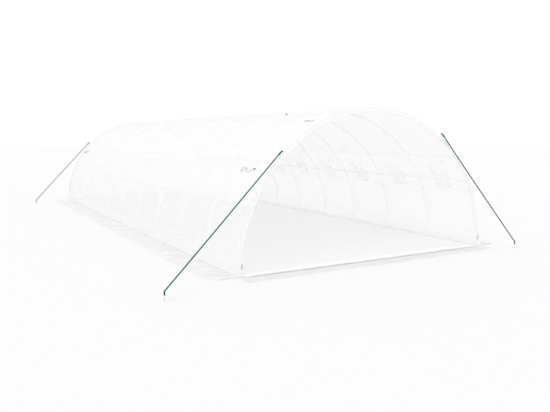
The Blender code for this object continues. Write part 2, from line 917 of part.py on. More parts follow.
def make_skirts():
    """Film flaps that lie flat on the ground along the sides and both ends."""
    count = bay_count * skirt_points_per_bay
    for name, side in (("left_skirt", -1), ("right_skirt", 1)):
        inner = tunnel_radius + clearance
        outline = [(side * inner, -half_length), (side * inner, half_length)]
        for index in range(count, -1, -1):
            y = -half_length + tunnel_length * index / count
            wide = skirt_edge(side * y, side_skirt_width)
            if index in (0, count):
                wide = side_skirt_width * skirt_corner_share
            outline.append((side * (tunnel_radius + wide), y))
        skirt = add_part(
            name, flat_curve(name, [outline], skirt_thickness), "ground_flap"
        )
        skirt.location.z = skirt_thickness / 2
    count = round(count * tunnel_radius / half_length)
    for name, side in (("front_skirt", -1), ("rear_skirt", 1)):
        inner = half_length + clearance
        outline = [(-tunnel_radius, side * inner), (tunnel_radius, side * inner)]
        for index in range(count, -1, -1):
            x = -tunnel_radius + 2 * tunnel_radius * index / count
            wide = skirt_edge(x, end_skirt_width)
            outline.append((x, side * (half_length + wide)))
        skirt = add_part(
            name, flat_curve(name, [outline], skirt_thickness), "ground_flap"
        )
        skirt.location.z = skirt_thickness / 2


def make_rope_loops():
    """Webbing loops on the hems, standing out past the cover for the guy ropes."""
    half = loop_width / 2
    tip = loop_length - loop_overlap
    outer = [
        (-half, -loop_overlap),
        (half, -loop_overlap),
        (half, tip - loop_corner),
        (half - loop_corner, tip),
        (loop_corner - half, tip),
        (-half, tip - loop_corner),
    ]
    inner = [
        (-half + loop_strap, -loop_overlap + loop_strap),
        (half - loop_strap, -loop_overlap + loop_strap),
        (half - loop_strap, tip - loop_strap),
        (-half + loop_strap, tip - loop_strap),
    ]
    loop = flat_mesh([outer, inner], loop_thickness)
    front = half_length + clearance + loop_thickness / 2
    for name, angle in loop_angles.items():
        y = -front if name.startswith("front") else front
        place = arch_frame(tunnel_radius, math.radians(angle), y)
        add_part(name + "_rope_loop", placed(loop, place), "webbing")


def smooth_route(points, count):
    """Evenly spaced points on the Catmull-Rom curve through the route's own points."""
    knots = [Vector(point) for point in points]
    knots = [2 * knots[0] - knots[1]] + knots + [2 * knots[-1] - knots[-2]]
    made = []
    spans = len(points) - 1
    for index in range(count):
        place = spans * index / (count - 1)
        span = min(int(place), spans - 1)
        t = place - span
        a, b, c, d = knots[span : span + 4]
        bend = (2 * b + (c - a) * t + (2 * a - 5 * b + 4 * c - d) * t**2) / 2
        made.append(bend + (3 * b - a - 3 * c + d) * t**3 / 2)
    return made


def make_ropes():
    """Taut guy ropes from the loops to the pegs."""
    for name, route in rope_routes.items():
        points = smooth_route(route, rope_points)
        curve = tube_curve(name + "_rope", [points], rope_diameter / 2, 8)
        add_part(name + "_rope", curve, "green_rope")


def make_pegs():
    """Pegs in the ground: the part above it, with a hook that leans away from the tent."""
    for name, (x, y) in peg_places.items():
        away = Vector((x, y - math.copysign(half_length, y), 0)).normalized()
        foot = Vector((x, y, 0))
        bend = foot + Vector((0, 0, peg_height - peg_hook_drop))
        route = [foot, bend]
        for turn in peg_hook_turns:
            angle = math.radians(turn)
            hook = away * (1 - math.cos(angle)) + Vector((0, 0, math.sin(angle)))
            route.append(bend + hook * peg_hook_radius)
        curve = tube_curve(name + "_peg", [route], peg_radius, hoop_tube_sides)
        add_part(name + "_peg", curve, "peg_steel")


make_hoops()
make_long_tubes()
make_roof()
make_walls()
make_nets()
make_flaps()
make_toggles()
make_bands()
make_rear_panel()
make_front_roll()
make_sliders()
make_skirts()
make_rope_loops()
make_ropes()
make_pegs()
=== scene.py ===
"""Looks of a half-round walk-in greenhouse tent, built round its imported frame: film cover, netted
windows with gathered flaps, steel hoops, zips, end panels, ground flaps and guy ropes."""

import math

import bmesh
import bpy
import numpy as np
from mathutils import Matrix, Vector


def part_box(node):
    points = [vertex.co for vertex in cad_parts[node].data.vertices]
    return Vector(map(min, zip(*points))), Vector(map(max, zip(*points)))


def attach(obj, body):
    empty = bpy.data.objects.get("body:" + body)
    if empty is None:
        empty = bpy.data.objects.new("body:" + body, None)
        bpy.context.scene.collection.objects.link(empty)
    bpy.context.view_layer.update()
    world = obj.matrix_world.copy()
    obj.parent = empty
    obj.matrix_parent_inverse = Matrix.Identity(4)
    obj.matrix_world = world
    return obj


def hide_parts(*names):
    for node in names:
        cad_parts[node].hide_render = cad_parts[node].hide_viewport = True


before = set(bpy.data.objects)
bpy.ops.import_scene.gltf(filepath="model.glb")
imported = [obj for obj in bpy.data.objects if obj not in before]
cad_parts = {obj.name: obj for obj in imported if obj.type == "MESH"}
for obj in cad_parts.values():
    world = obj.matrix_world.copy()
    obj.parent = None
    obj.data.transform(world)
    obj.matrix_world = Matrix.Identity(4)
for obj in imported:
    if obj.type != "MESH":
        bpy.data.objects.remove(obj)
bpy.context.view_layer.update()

bl_info = {
    "name": "Tunnel Greenhouse Tent",
    "version": (1, 0, 0),
    "blender": (4, 5, 0),
    "location": "View3D > Sidebar > Greenhouse",
    "description": "Film cover, nets, hoops, zips, ground flaps and guy ropes of a tunnel greenhouse",
    "category": "Add Mesh",
}

# Sizes of the CAD in metres, and the purlins' angles. The tunnel's axis runs along y on the ground.
RADIUS = float(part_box("roof_cover")[1].z)
HALF_LENGTH = float(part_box("front_end_band")[0].y) * -1
FILM_END = float(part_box("left_wall_cover")[1].y)
FILM_REACH = RADIUS - 0.0015
HOOP_TUBE = 0.0125
LONG_TUBE = 0.0095
SLEEVE = 0.0122
HOOP_REACH = 1.9848
PURLIN_REACH = 1.96535
RAIL_X = float(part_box("right_base_rail")[0].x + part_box("right_base_rail")[1].x) / 2
RAIL_Z = SLEEVE + 0.0002
BAYS = 10
FIRST_HOOP = -4.9852
BAY = -2 * FIRST_HOOP / BAYS
HOOPS = FIRST_HOOP + BAY * np.arange(BAYS + 1)
BAY_MIDDLES = HOOPS[:-1] + BAY / 2
CHAIN_REACH = 1.9532
END_PLANE = HALF_LENGTH - 0.001
PANEL_REACH = 1.9460
SIDES = {"left": -1, "right": 1}
ENDS = {"front": -1, "rear": 1}
PURLINS = {"left_purlin": 30, "ridge_purlin": 90, "right_purlin": 150}
X_AXIS, Y_AXIS, Z_AXIS = np.eye(3)
FROM_AXIS = X_AXIS + Z_AXIS
WHITE = (1.0, 1.0, 1.0, 1.0)

# Where the seams and windows are: angles from the foot, and arcs, the way up the film.
SEAM = math.radians(42)
WINDOW_LOW = math.radians(6)
WINDOW_HIGH = math.radians(24)
SEAM_ARC = SEAM * RADIUS
LOW_ARC = WINDOW_LOW * RADIUS
HIGH_ARC = WINDOW_HIGH * RADIUS
MIDDLE_ARC = (WINDOW_LOW + WINDOW_HIGH) / 2 * RADIUS
WINDOW_TALL = (WINDOW_HIGH - WINDOW_LOW) * RADIUS
WINDOW_HALF = 0.43
NET_LAP = 0.01

# A window flap's bundle: half widths and the depths of its ties, each by degrees up the film.
FLAP_TOP, FLAP_BOTTOM, FLAP_TUCK = (math.radians(a) * RADIUS for a in (38.8, 25.3, 33.6))
FLAP_DEGREES = (25.2, 27.2, 29.2, 30.8, 32.8, 34.8, 37.0, 39.0)
FLAP_HALVES = (0.135, 0.158, 0.150, 0.150, 0.162, 0.215, 0.405, 0.43)
TIE_DEGREES = (38.6, 36.8, 34.6, 33.0, 31.2, 29.0, 27.2, 25.9, 25.2, 25.0, 25.2)
TIE_DEPTHS = (0.0015, 0.016, 0.036, 0.0438, 0.0443, 0.0443, 0.0438, 0.040, 0.030, 0.012, 0.0012)
TIE_SHIFT = 0.13

# Ropes, from loop to peg, with their loops' angles on the arch and their pegs' places.
ROPE_ROUTES = {
    "front_left": [
        (-1.4074, -5.0018, 1.4677), (-1.9640, -5.1640, 1.0060),
        (-2.5190, -5.3320, 0.5500), (-3.0650, -5.4960, 0.1060),
    ],
    "front_right": [
        (1.1745, -5.0022, 1.6648), (1.5450, -5.1300, 1.1360),
        (1.9130, -5.2640, 0.6150), (2.2750, -5.3950, 0.1060),
    ],
    "rear_left": [
        (-1.4124, 5.0018, 1.4626), (-1.9130, 4.7380, 1.0010),
        (-2.4090, 4.4720, 0.5480), (-2.8900, 4.2140, 0.1060),
    ],
}
PEG_PLACES = {
    "front_left": (-3.0725, -5.4979), "front_right": (2.2820, -5.4000), "rear_left": (-2.8966, 4.2104),
}
LOOP_ANGLES = {"front_left": 46.2, "front_right": 125.2, "rear_left": 46.0, "rear_right": 134.0}
LOOP_LOW, LOOP_HIGH, LOOP_HALF = 0.0120, 0.0270, 0.0100
LOOP_PLANE = HALF_LENGTH + 0.0018
LOOP_SQUARENESS = 0.45
TWINE = 0.0021
KNOT_START, KNOT_REACH, KNOT_PITCH, KNOT_TURNS = 0.026, 0.0084, 0.0044, 9.2
EYE_REACH, EYE_THICK = 0.0125, 0.0042
WRAP_START, WRAP_REACH, WRAP_PITCH, WRAP_TURNS = 0.056, 0.0068, 0.0040, 12.5
PEG, PEG_TIP, PEG_TOP, HOOK, HOOK_DEGREES = 0.0048, 0.0036, 0.106, 0.009, 158

# Toggles and their cords: a curl of places along and up the film, and each cord's angle, place, size.
ROOF_TOGGLE = (math.radians(76.3), -3.535)
ROOF_TOGGLE_HALF = 0.017
TOGGLE_REACH, TOGGLE_WAIST, TOGGLE_LIFT = 0.0084, 0.0016, 0.0024
CURL = (
    (0.0, 0.0), (0.055, -0.028), (0.110, -0.058), (0.170, -0.034), (0.225, 0.012), (0.285, 0.004),
    (0.318, -0.034), (0.290, -0.056), (0.250, -0.040), (0.205, -0.012), (0.165, -0.008),
)
CORD_DIAMETER = 0.0052
LOOSE_CORDS = (
    ("front_left_toggle_cord", 38.3, -4.597, 1.0),
    ("rear_left_toggle_cord", 38.3, 4.376, 1.0),
    ("roof_loose_cord", 67.0, -4.740, 0.62),
)

# Hem bands, zips, the rolled panel, ground flaps and the clips' screws.
BAND = 0.045
BAND_THICK = 0.0019
TOOTH_OUT, TOOTH_ROUND, TOOTH_ALONG, TOOTH_SHIFT = 0.0011, 0.0013, 0.0016, 0.0002
CUBE_FACES = np.array([(0, 1, 3, 2), (4, 6, 7, 5), (0, 4, 5, 1), (2, 3, 7, 6), (0, 2, 6, 4), (1, 5, 7, 3)])
PANEL_BELLY = 0.010
ROLL_CORE, ROLL_SWELL, ROLL_LIFT, ROLL_TURNS = 0.007, 0.017, 0.0018, 25
SIDE_FLAP, END_FLAP, FLAP_WAVE, FLAT_LIFT = 0.37, 0.27, 0.022, 0.0003
SCREW_DOME = (
    (0.0, 0.0026), (0.0020, 0.0023), (0.0036, 0.0012), (0.0040, 0.0), (0.0040, -0.001), (0.0, -0.001),
)

# The photograph's camera, the lamps' brightness, width and turn, and how bright sky and floor are.
CAMERA_PLACE = (-5.03, -11.21, 1.675)
YAW, PITCH, ROLL = 0.5164, 0.1197, -0.0042
SENSOR = 36.0
LENS = 603.3 / 550 * SENSOR
LAMPS = (("soft_lamp", 0.36, 50, (24, -30, 0)), ("fill_lamp", 0.30, 20, (86, 0, -25.5)))
SKY, FLOOR_GLOW, FLOOR_DROP = 0.98, 0.045, -0.0005


def length_property(name, description, default, **limits):
    """A length that a user can set."""
    return bpy.props.FloatProperty(
        name=name, description=description, default=default, unit="LENGTH", **limits
    )


def colour_property(name, default):
    """A colour that a user can set."""
    return bpy.props.FloatVectorProperty(
        name=name, description=name, subtype="COLOR", size=3, min=0.0, max=1.0, default=default
    )


class TentSizes(bpy.types.PropertyGroup):
    """Sizes that a user would change."""

    film_sag: length_property(
        "Film sag", "How far the roof film hangs in between two hoops", 0.007, min=0.0, max=0.01
    )
    film_grid: length_property("Film grid", "Distance between the reinforcing threads in the film", 0.012)
    net_pitch: length_property("Net pitch", "Distance between the threads of the insect net", 0.0024)
    pleats: bpy.props.IntProperty(
        name="Pleats", description="Folds across a gathered window flap", default=11, min=3, max=20
    )
    skirt_lift: length_property(
        "Ground flap waves", "How high the slack ground flaps rise off the ground", 0.014
    )
    rope_diameter: length_property("Rope diameter", "Thickness of the guy ropes", 0.016)
    rope_twist: length_property("Rope twist", "Length of one full turn of the rope's strands", 0.042)
    tooth_pitch: length_property("Zip tooth pitch", "Distance between two teeth of the zips", 0.0045)


class TentColours(bpy.types.PropertyGroup):
    """Colours that a user would change."""

    film: colour_property("Film", (0.985, 0.987, 0.986))
    # Painted light: the gathered flaps take the cover's film in a whiter colour, so that the bundles read
    # brighter than the walls.
    gathered: colour_property("Gathered film", (0.999, 0.999, 0.998))
    hem: colour_property("Film tapes and the rolled panel", (0.972, 0.972, 0.970))
    # Painted shade: the bands round the ends and the rear panel's hem take the tapes' film in a darker
    # colour, which keeps the lamp-lit bands dim.
    band: colour_property("Bands round the ends", (0.938, 0.938, 0.936))
    net: colour_property("Insect net", (0.985, 0.99, 0.988))
    skirt: colour_property("Ground flaps along the sides", (0.992, 0.980, 0.983))
    # Painted shade: the ground flaps at the ends take the side flaps' film in a darker colour.
    end_flap: colour_property("Ground flaps at the ends", (0.948, 0.932, 0.938))
    webbing: colour_property("Webbing", (0.975, 0.975, 0.972))
    steel: colour_property("Galvanised steel", (0.972, 0.976, 0.98))
    peg: colour_property("Peg steel", (0.74, 0.75, 0.76))
    zip_white: colour_property("Zip teeth", (0.88, 0.88, 0.87))
    zip_metal: colour_property("Zip sliders", (0.60, 0.61, 0.62))
    rope: colour_property("Guy ropes", (0.001, 0.118, 0.074))
    toggle: colour_property("Toggles", (0.016, 0.016, 0.018))
    elastic: colour_property("Toggle cords", (0.36, 0.36, 0.37))
    floor: colour_property("Floor", (0.87, 0.87, 0.87))


def sizes():
    """The scene's sizes."""
    return bpy.context.scene.tent_sizes


def colours():
    """The scene's colours."""
    return bpy.context.scene.tent_colours


class Shape:
    """Gathers grids of points, which then become one mesh."""

    def __init__(self):
        self.points, self.quads, self.caps, self.marks = [], [], [], []
        self.count = 0

    def grid(self, points, around=False, looped=False, capped=False, turned=False, keep=None, marks=None):
        """Rows by columns of points. Each cell between neighbours is a face. around joins the last
        column to the first, looped the last row to the first, capped closes both end rows, keep
        says which cells stay, and marks gives the u of each column and the v of each row."""
        rows, columns = points.shape[:2]
        row, column = np.meshgrid(
            np.arange(rows - (not looped)), np.arange(columns - (not around)), indexing="ij"
        )
        down, over = (row + 1) % rows, (column + 1) % columns
        corners = ((row, column), (row, over), (down, over), (down, column))
        cells = np.stack([y * columns + x for y, x in corners], -1)
        if marks is None:
            marks = (np.arange(columns + 1) / columns, np.arange(rows + 1) / rows)
        u, v = (np.append(m, 2 * m[-1] - m[-2]) for m in marks)
        steps = ((0, 0), (1, 0), (1, 1), (0, 1))
        places = np.stack([np.stack([u[column + x], v[row + y]], -1) for x, y in steps], -2)
        if keep is not None:
            cells, places = cells[keep], places[keep]
        cells, places = cells.reshape(-1, 4) + self.count, places.reshape(-1, 4, 2)
        if turned:
            cells, places = cells[:, ::-1], places[:, ::-1]
        self.points.append(points.reshape(-1, 3))
        self.quads.append(cells)
        self.marks.append(places)
        if capped:
            first = self.count + np.arange(columns)
            self.caps += [first[::-1].tolist(), (first + (rows - 1) * columns).tolist()]
        self.count += rows * columns
        return self

    def tube(self, path, profile, hint, girth=None, way=None, looped=False):
        """A profile swept along a path, as a tube with closed ends or, if looped, as a ring. girth is
        the u all round it, and way is the v of each point or, as one number, of the last."""
        marks = None
        if girth is not None:
            way = np.linspace(0, way, len(path)) if np.isscalar(way) else way
            marks = (np.linspace(0, girth, np.shape(profile)[-2]), way)
        points = swept(path, profile, hint, looped)
        return self.grid(points, around=True, looped=looped, capped=not looped, marks=marks)

    def draped(self, side, arcs, rows, height, keep=None):
        """A grid that lies on one side of the cover: arcs up it by rows along it."""
        points = on_cover(side, arcs, rows[:, None], height)
        return self.grid(points, turned=side > 0, keep=keep, marks=(arcs, rows))

    def blocks(self, corners, faces):
        """Many like bodies at once: corners is bodies by corners by 3, and faces is one body's."""
        bodies, each = corners.shape[:2]
        cells = faces[None] + (self.count + each * np.arange(bodies))[:, None, None]
        self.points.append(corners.reshape(-1, 3))
        self.quads.append(cells.reshape(-1, 4))
        self.marks.append(np.zeros((cells.shape[0] * cells.shape[1], 4, 2)))
        self.count += bodies * each
        return self

    def object(self, name, material, solid=True, crease=40.0):
        """The mesh as an object in the scene, with its uv map; solid faces are turned outwards."""
        mesh = bpy.data.meshes.new(name)
        quads = np.concatenate(self.quads)
        mesh.from_pydata(np.concatenate(self.points), [], quads.tolist() + self.caps)
        layer = mesh.uv_layers.new(name="cloth")
        flat = np.zeros((len(mesh.loops), 2), np.float32)
        flat[: quads.size] = np.concatenate(self.marks).reshape(-1, 2)
        layer.data.foreach_set("uv", flat.ravel())
        if solid:
            work = bmesh.new()
            work.from_mesh(mesh)
            bmesh.ops.remove_doubles(work, verts=work.verts, dist=1e-6)
            bmesh.ops.recalc_face_normals(work, faces=work.faces)
            work.to_mesh(mesh)
            work.free()
        mesh.validate()
        mesh.shade_smooth()
        if crease:
            mesh.set_sharp_from_angle(angle=math.radians(crease))
        piece = bpy.data.objects.new(name, mesh)
        bpy.context.scene.collection.objects.link(piece)
        mesh.materials.append(material)
        return piece

    def piece(self, name, finish, slot, *nodes, body="tent", solid=True, crease=40.0):
        """The object with its finish, riding on its body, and the CAD nodes it
        stands for. The slot is not used."""
        piece = self.object(name, all_finishes()[finish], solid, crease)
        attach(piece, body)
        if nodes:
            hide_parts(*nodes)
        return piece

    def film(self, name, finish, slot, *nodes, body="tent"):
        """A piece of open film, smooth all over."""
        return self.piece(name, finish, slot, *nodes, body=body, solid=False, crease=0)


def unit(vectors):
    """Each vector divided by its own length."""
    return vectors / np.maximum(np.linalg.norm(vectors, axis=-1, keepdims=True), 1e-12)


def swept(path, profile, hint, looped=False):
    """A profile carried along a path: each point is the path's own point plus the profile's first
    number times the outward direction and its second times the sideways one. Outward is the hint
    with its part along the path taken out, and sideways is the path's direction crossed with it."""
    path = np.asarray(path, float)
    ahead = np.roll(path, -1, 0) - np.roll(path, 1, 0) if looped else np.gradient(path, axis=0)
    along = unit(ahead)
    hint = np.broadcast_to(np.asarray(hint, float), path.shape)
    out = unit(hint - (hint * along).sum(-1, keepdims=True) * along)
    side = np.cross(along, out)
    profile = np.broadcast_to(profile, (len(path),) + np.shape(profile)[-2:])
    return path[:, None] + profile[..., :1] * out[:, None] + profile[..., 1:] * side[:, None]


def circle(radius, count):
    """Points evenly round a circle, or round one circle for each radius."""
    turn = 2 * math.pi * np.arange(count) / count
    return np.asarray(radius)[..., None, None] * np.stack([np.cos(turn), np.sin(turn)], -1)


def squared(value, power):
    """The value's sign times its size raised to a power; a small power squares a circle's corners."""
    return np.sign(value) * np.abs(value) ** power


def strap(thickness, width, count=12, power=0.4):
    """A flat strap's section with rounded edges: cosine and sine, each raised to a small power."""
    turn = 2 * math.pi * (np.arange(count) + 0.5) / count
    across = thickness / 2 * squared(np.cos(turn), power)
    return np.stack([across, width / 2 * squared(np.sin(turn), power)], -1)


def tape(width):
    """A tape's section as an open line: level in the middle, and down to the film at both edges."""
    across = np.array([-0.5, -0.43, -0.2, 0.2, 0.43, 0.5]) * width
    return np.stack([np.array([0.0003, 0.0012, 0.0014, 0.0014, 0.0012, 0.0003]), across], -1)


def arch(reach, angle, along):
    """Points on the arch: reach times minus cosine of the angle across, reach times its sine up."""
    reach, angle, along = np.broadcast_arrays(reach, angle, along)
    return np.stack([-reach * np.cos(angle), along, reach * np.sin(angle)], -1)


def radial(angle):
    """The directions outwards from the arch at an angle and onwards along it."""
    cos, sin = math.cos(angle), math.sin(angle)
    return np.array([-cos, 0.0, sin]), np.array([sin, 0.0, cos])


def eased(value):
    """Nought to one with level ends: three squares less two cubes."""
    value = np.clip(value, 0.0, 1.0)
    return value * value * (3 - 2 * value)


def cover_reach(angle, along):
    """The film's distance from the tunnel's axis: the full reach at each hoop, less a squared sine
    of the way to the next hoop times the sag, which grows from none at the seams to all at 62
    degrees. Small slanting folds, a sine of angle and place, take up to a quarter off the sag."""
    way = np.clip((along - FIRST_HOOP) / BAY, 0, BAYS)
    droop = np.sin(math.pi * way) ** 2
    share = eased((np.sin(angle) - math.sin(SEAM)) / (math.sin(math.radians(62)) - math.sin(SEAM)))
    folds = 0.5 + 0.5 * np.sin(9.0 * angle + 2.3 * np.floor(way) + 5.0 * np.sin(3.1 * along))
    return FILM_REACH - sizes().film_sag * droop * share * (0.75 + 0.25 * folds)


def on_cover(side, arc, along, height):
    """A point of the cover: arc metres up from the foot on one side, along metres down the tunnel
    and height metres out from the film. The angle is the arc over the tunnel's radius."""
    arc, along, height = np.broadcast_arrays(arc, along, height)
    angle = arc / RADIUS
    reach = cover_reach(angle, along) + height
    return np.stack([side * reach * np.cos(angle), along, reach * np.sin(angle)], -1)


def film_rows():
    """Places along the tunnel: each bay's and window's edges, evenly filled, and the film's ends."""
    edges = (-BAY / 2, -WINDOW_HALF, WINDOW_HALF, BAY / 2)
    spans = zip(edges, edges[1:], (3, 18, 3))
    steps = np.concatenate([np.linspace(a, b, n, endpoint=False) for a, b, n in spans])
    inner = (BAY_MIDDLES[:, None] + steps).ravel()
    rows = np.concatenate([inner, [BAY_MIDDLES[-1] + BAY / 2, FILM_END]])
    rows[0] = -FILM_END
    return rows


def travelled(path):
    """The way from a path's start to each of its points."""
    return np.concatenate([[0], np.cumsum(np.linalg.norm(np.diff(path, axis=0), axis=1))])


def smooth_route(knots, count):
    """Evenly spread points of the Catmull-Rom curve through the knots, with both ends carried on:
    half of two b, plus t times c less a, and so on with the cube of t."""
    knots = np.asarray(knots, float)
    knots = np.concatenate([[2 * knots[0] - knots[1]], knots, [2 * knots[-1] - knots[-2]]])
    spans = len(knots) - 3
    place = np.linspace(0, spans, count)
    span = np.minimum(place.astype(int), spans - 1)
    t = (place - span)[:, None]
    a, b, c, d = (knots[span + k] for k in range(4))
    square, cube = 2 * a - 5 * b + 4 * c - d, 3 * b - a - 3 * c + d
    return (2 * b + (c - a) * t + square * t**2 + cube * t**3) / 2


def coiled(start, axes, radius, pitch, turns, count):
    """A coil round a line: start plus the pitch a turn along the first axis, plus the radius times
    the turn's cosine on the second axis and its sine on the third."""
    along, out, side = axes
    turn = np.linspace(0, 2 * math.pi * turns, count)[:, None]
    return start + along * turn / (2 * math.pi) * pitch + radius * (np.cos(turn) * out + np.sin(turn) * side)


def add_node(tree, kind, inputs=None, **settings):
    """A new shader node with its settings, and its outputs; inputs gives numbers, colours or
    sockets by place or name."""
    node = tree.nodes.new("ShaderNode" + kind)
    for key, value in settings.items():
        setattr(node, key, value)
    for key, value in (inputs or {}).items():
        if isinstance(value, bpy.types.NodeSocket):
            tree.links.new(value, node.inputs[key])
        else:
            node.inputs[key].default_value = value
    return node.outputs


class Finish:
    """A node material round one Principled shader."""

    def __init__(self, name, colour, roughness, metallic=0.0):
        self.material = bpy.data.materials.new(name)
        self.material.use_nodes = True
        self.tree = self.material.node_tree
        self.shader = self.tree.nodes["Principled BSDF"]
        self.colour = (*colour, 1.0)
        self.shader.inputs["Base Color"].default_value = self.colour
        self.shader.inputs["Roughness"].default_value = roughness
        self.shader.inputs["Metallic"].default_value = metallic
        self.material.diffuse_color = self.colour

    def node(self, kind, inputs=None, **settings):
        """The outputs of a new node."""
        return add_node(self.tree, kind, inputs, **settings)

    def coordinates(self, kind="Object", scale=(1, 1, 1)):
        """Object coordinates or the uv map, stretched."""
        return self.node("Mapping", {0: self.node("TexCoord")[kind], 3: scale})[0]

    def noise(self, where, scale, detail=3.0, roughness=0.55):
        """Cloudy noise, about one half on average."""
        inputs = {"Vector": where, "Scale": scale, "Detail": detail, "Roughness": roughness}
        return self.node("TexNoise", inputs)[0]

    def math(self, operation, a, b=0.0, c=0.0):
        """One sum of two or three values."""
        return self.node("Math", {0: a, 1: b, 2: c}, operation=operation)[0]

    def spread(self, value, first=0.0, last=1.0, low=0.3, high=0.7):
        """The value's range low to high carried to the range first to last."""
        return self.node("MapRange", {0: value, 1: low, 2: high, 3: first, 4: last})[0]

    def tinted(self, value, darker, lighter):
        """The finish's colour times darker where the value is nought and times lighter at one."""
        ends = [tuple(min(c * k, 1.0) for c in self.colour[:3]) + (1.0,) for k in (darker, lighter)]
        self.drive("Base Color", self.node("Mix", {0: value, 6: ends[0], 7: ends[1]}, data_type="RGBA")[2])

    def drive(self, socket, value):
        """Links a value to a socket of the shader."""
        self.tree.links.new(value, self.shader.inputs[socket])

    def bump(self, height, strength, distance):
        """Raises the surface by the height."""
        inputs = {"Height": height, "Strength": strength, "Distance": distance}
        self.drive("Normal", self.node("Bump", inputs)[0])

    def threads(self, axis, pitch, width):
        """One where a thread runs, nought between: the place folded back and forth every pitch."""
        place = self.node("SeparateXYZ", {0: self.node("TexCoord")["UV"]})[axis]
        return self.spread(self.math("PINGPONG", place, pitch / 2), 1.0, 0.0, width * 0.35, width * 0.65)

    def crossed(self, operation, pitch, width):
        """Threads both ways."""
        return self.math(operation, self.threads(0, pitch, width), self.threads(1, pitch, width))

    def see_through(self, alpha, translucent):
        """Mixes light that passes diffusely through the film into the shader, then clear gaps."""
        film = self.node("BsdfTranslucent", {"Color": self.colour})[0]
        inner = self.node("MixShader", {0: translucent, 1: self.shader.outputs[0], 2: film})[0]
        outer = self.node("MixShader", {0: alpha, 1: self.node("BsdfTransparent")[0], 2: inner})[0]
        self.tree.links.new(outer, self.tree.nodes["Material Output"].inputs["Surface"])


def film_finish(name, colour, alpha, translucent, wrinkle):
    """Milky film with a thread grid, cloudy thickness, soft creases and a dull shine."""
    finish = Finish(name, colour, 0.34)
    cloud = finish.noise(finish.coordinates(scale=(1.0, 0.6, 1.0)), 2.2, 4.0)
    grid = finish.crossed("MAXIMUM", sizes().film_grid, 0.0016)
    finish.tinted(finish.spread(cloud), 0.992, 1.0)
    finish.drive("Roughness", finish.spread(cloud, 0.3, 0.46))
    crease = finish.noise(finish.coordinates(scale=(3.0, 1.0, 1.6)), 3.0, 6.0, 0.62)
    finish.bump(finish.math("MULTIPLY_ADD", grid, 0.03, crease), wrinkle, 0.012)
    thick = finish.math("MULTIPLY_ADD", grid, 0.10, finish.spread(cloud, alpha - 0.04, alpha + 0.03))
    finish.see_through(thick, translucent)
    return finish.material


def hem_finish(name, colour, stitch=0.006, alpha=None):
    """Film folded to a tape, with a fine weave and rows of stitches; some light passes if alpha
    is given."""
    finish = Finish(name, colour, 0.55)
    weave = finish.crossed("ADD", 0.0012, 0.0006)
    dashes = finish.threads(1, stitch, stitch * 0.55)
    cloud = finish.noise(finish.coordinates(), 9.0)
    finish.tinted(finish.spread(cloud), 0.955, 1.02)
    finish.bump(finish.math("MULTIPLY_ADD", dashes, 0.4, weave), 0.35, 0.0008)
    if alpha:
        finish.see_through(finish.spread(cloud, alpha - 0.05, alpha + 0.05), 0.45)
    return finish.material


def net_finish(name):
    """Insect net: threads both ways, clear between them, slightly cloudy with dust."""
    finish = Finish(name, colours().net, 0.7)
    threads = finish.crossed("MAXIMUM", sizes().net_pitch, sizes().net_pitch * 0.36)
    finish.tinted(finish.spread(finish.noise(finish.coordinates(), 5.0)), 0.96, 1.01)
    finish.bump(threads, 0.4, 0.0006)
    finish.see_through(finish.spread(threads, 0.34, 0.86, 0.0, 1.0), 0.5)
    return finish.material


def steel_finish(name, colour, rough=0.42, metallic=0.12):
    """Galvanised steel: crystal patches and dull, streaked roughness."""
    finish = Finish(name, colour, rough, metallic)
    cells = {"Vector": finish.coordinates(), "Scale": 130.0}
    patch = finish.node("SeparateXYZ", {0: finish.node("TexVoronoi", cells, feature="F1")["Color"]})[0]
    streak = finish.noise(finish.coordinates(scale=(1, 0.2, 1)), 40.0, 5.0)
    mixed = finish.math("MULTIPLY_ADD", patch, 0.5, finish.math("MULTIPLY", streak, 0.5))
    finish.tinted(mixed, 0.93, 1.05)
    finish.drive("Roughness", finish.spread(mixed, rough - 0.1, rough + 0.14, 0.2, 0.8))
    finish.bump(streak, 0.12, 0.0004)
    return finish.material


def webbing_finish(name, colour, across=0.0022):
    """Woven webbing: slanted ribs in two directions, with a soft sheen, and painted shade that darkens the
    grooves between the ribs and lightens the ridges.
    """
    finish = Finish(name, colour, 0.62)
    u, v, _ = finish.node("SeparateXYZ", {0: finish.coordinates("UV")})
    slants = [finish.math("PINGPONG", finish.math(way, u, v), across / 2) for way in ("ADD", "SUBTRACT")]
    height = finish.spread(finish.math("MULTIPLY", *slants), 0.0, 1.0, 0.0, (across / 2) ** 2)
    # Painted shade: the colour follows the ribs' height and is darker in the grooves.
    finish.tinted(height, 0.95, 1.02)
    finish.shader.inputs["Sheen Weight"].default_value = 0.25
    finish.bump(height, 0.5, 0.0008)
    return finish.material


def skirt_finish(name, colour):
    """Ground flap film: denser, greyish pink with light soil, creased where it lies slack."""
    finish = Finish(name, colour, 0.46)
    soil = finish.noise(finish.coordinates(), 3.5, 6.0, 0.62)
    finish.tinted(finish.spread(soil, low=0.35), 0.955, 1.01)
    finish.drive("Roughness", finish.spread(soil, 0.38, 0.56))
    finish.bump(finish.noise(finish.coordinates(scale=(1.0, 2.2, 1.0)), 7.0, 6.0, 0.66), 0.6, 0.012)
    finish.see_through(finish.spread(soil, 0.86, 0.94), 0.2)
    return finish.material


def rope_finish(name, colour):
    """Laid rope: fine fibres that run along each strand, with a weak plastic shine."""
    finish = Finish(name, colour, 0.5)
    fibres = finish.noise(finish.coordinates("UV", (900.0, 60.0, 1.0)), 1.0, 3.0)
    finish.tinted(finish.spread(fibres), 0.62, 1.5)
    finish.shader.inputs["Specular IOR Level"].default_value = 0.25
    finish.bump(fibres, 0.4, 0.0008)
    return finish.material


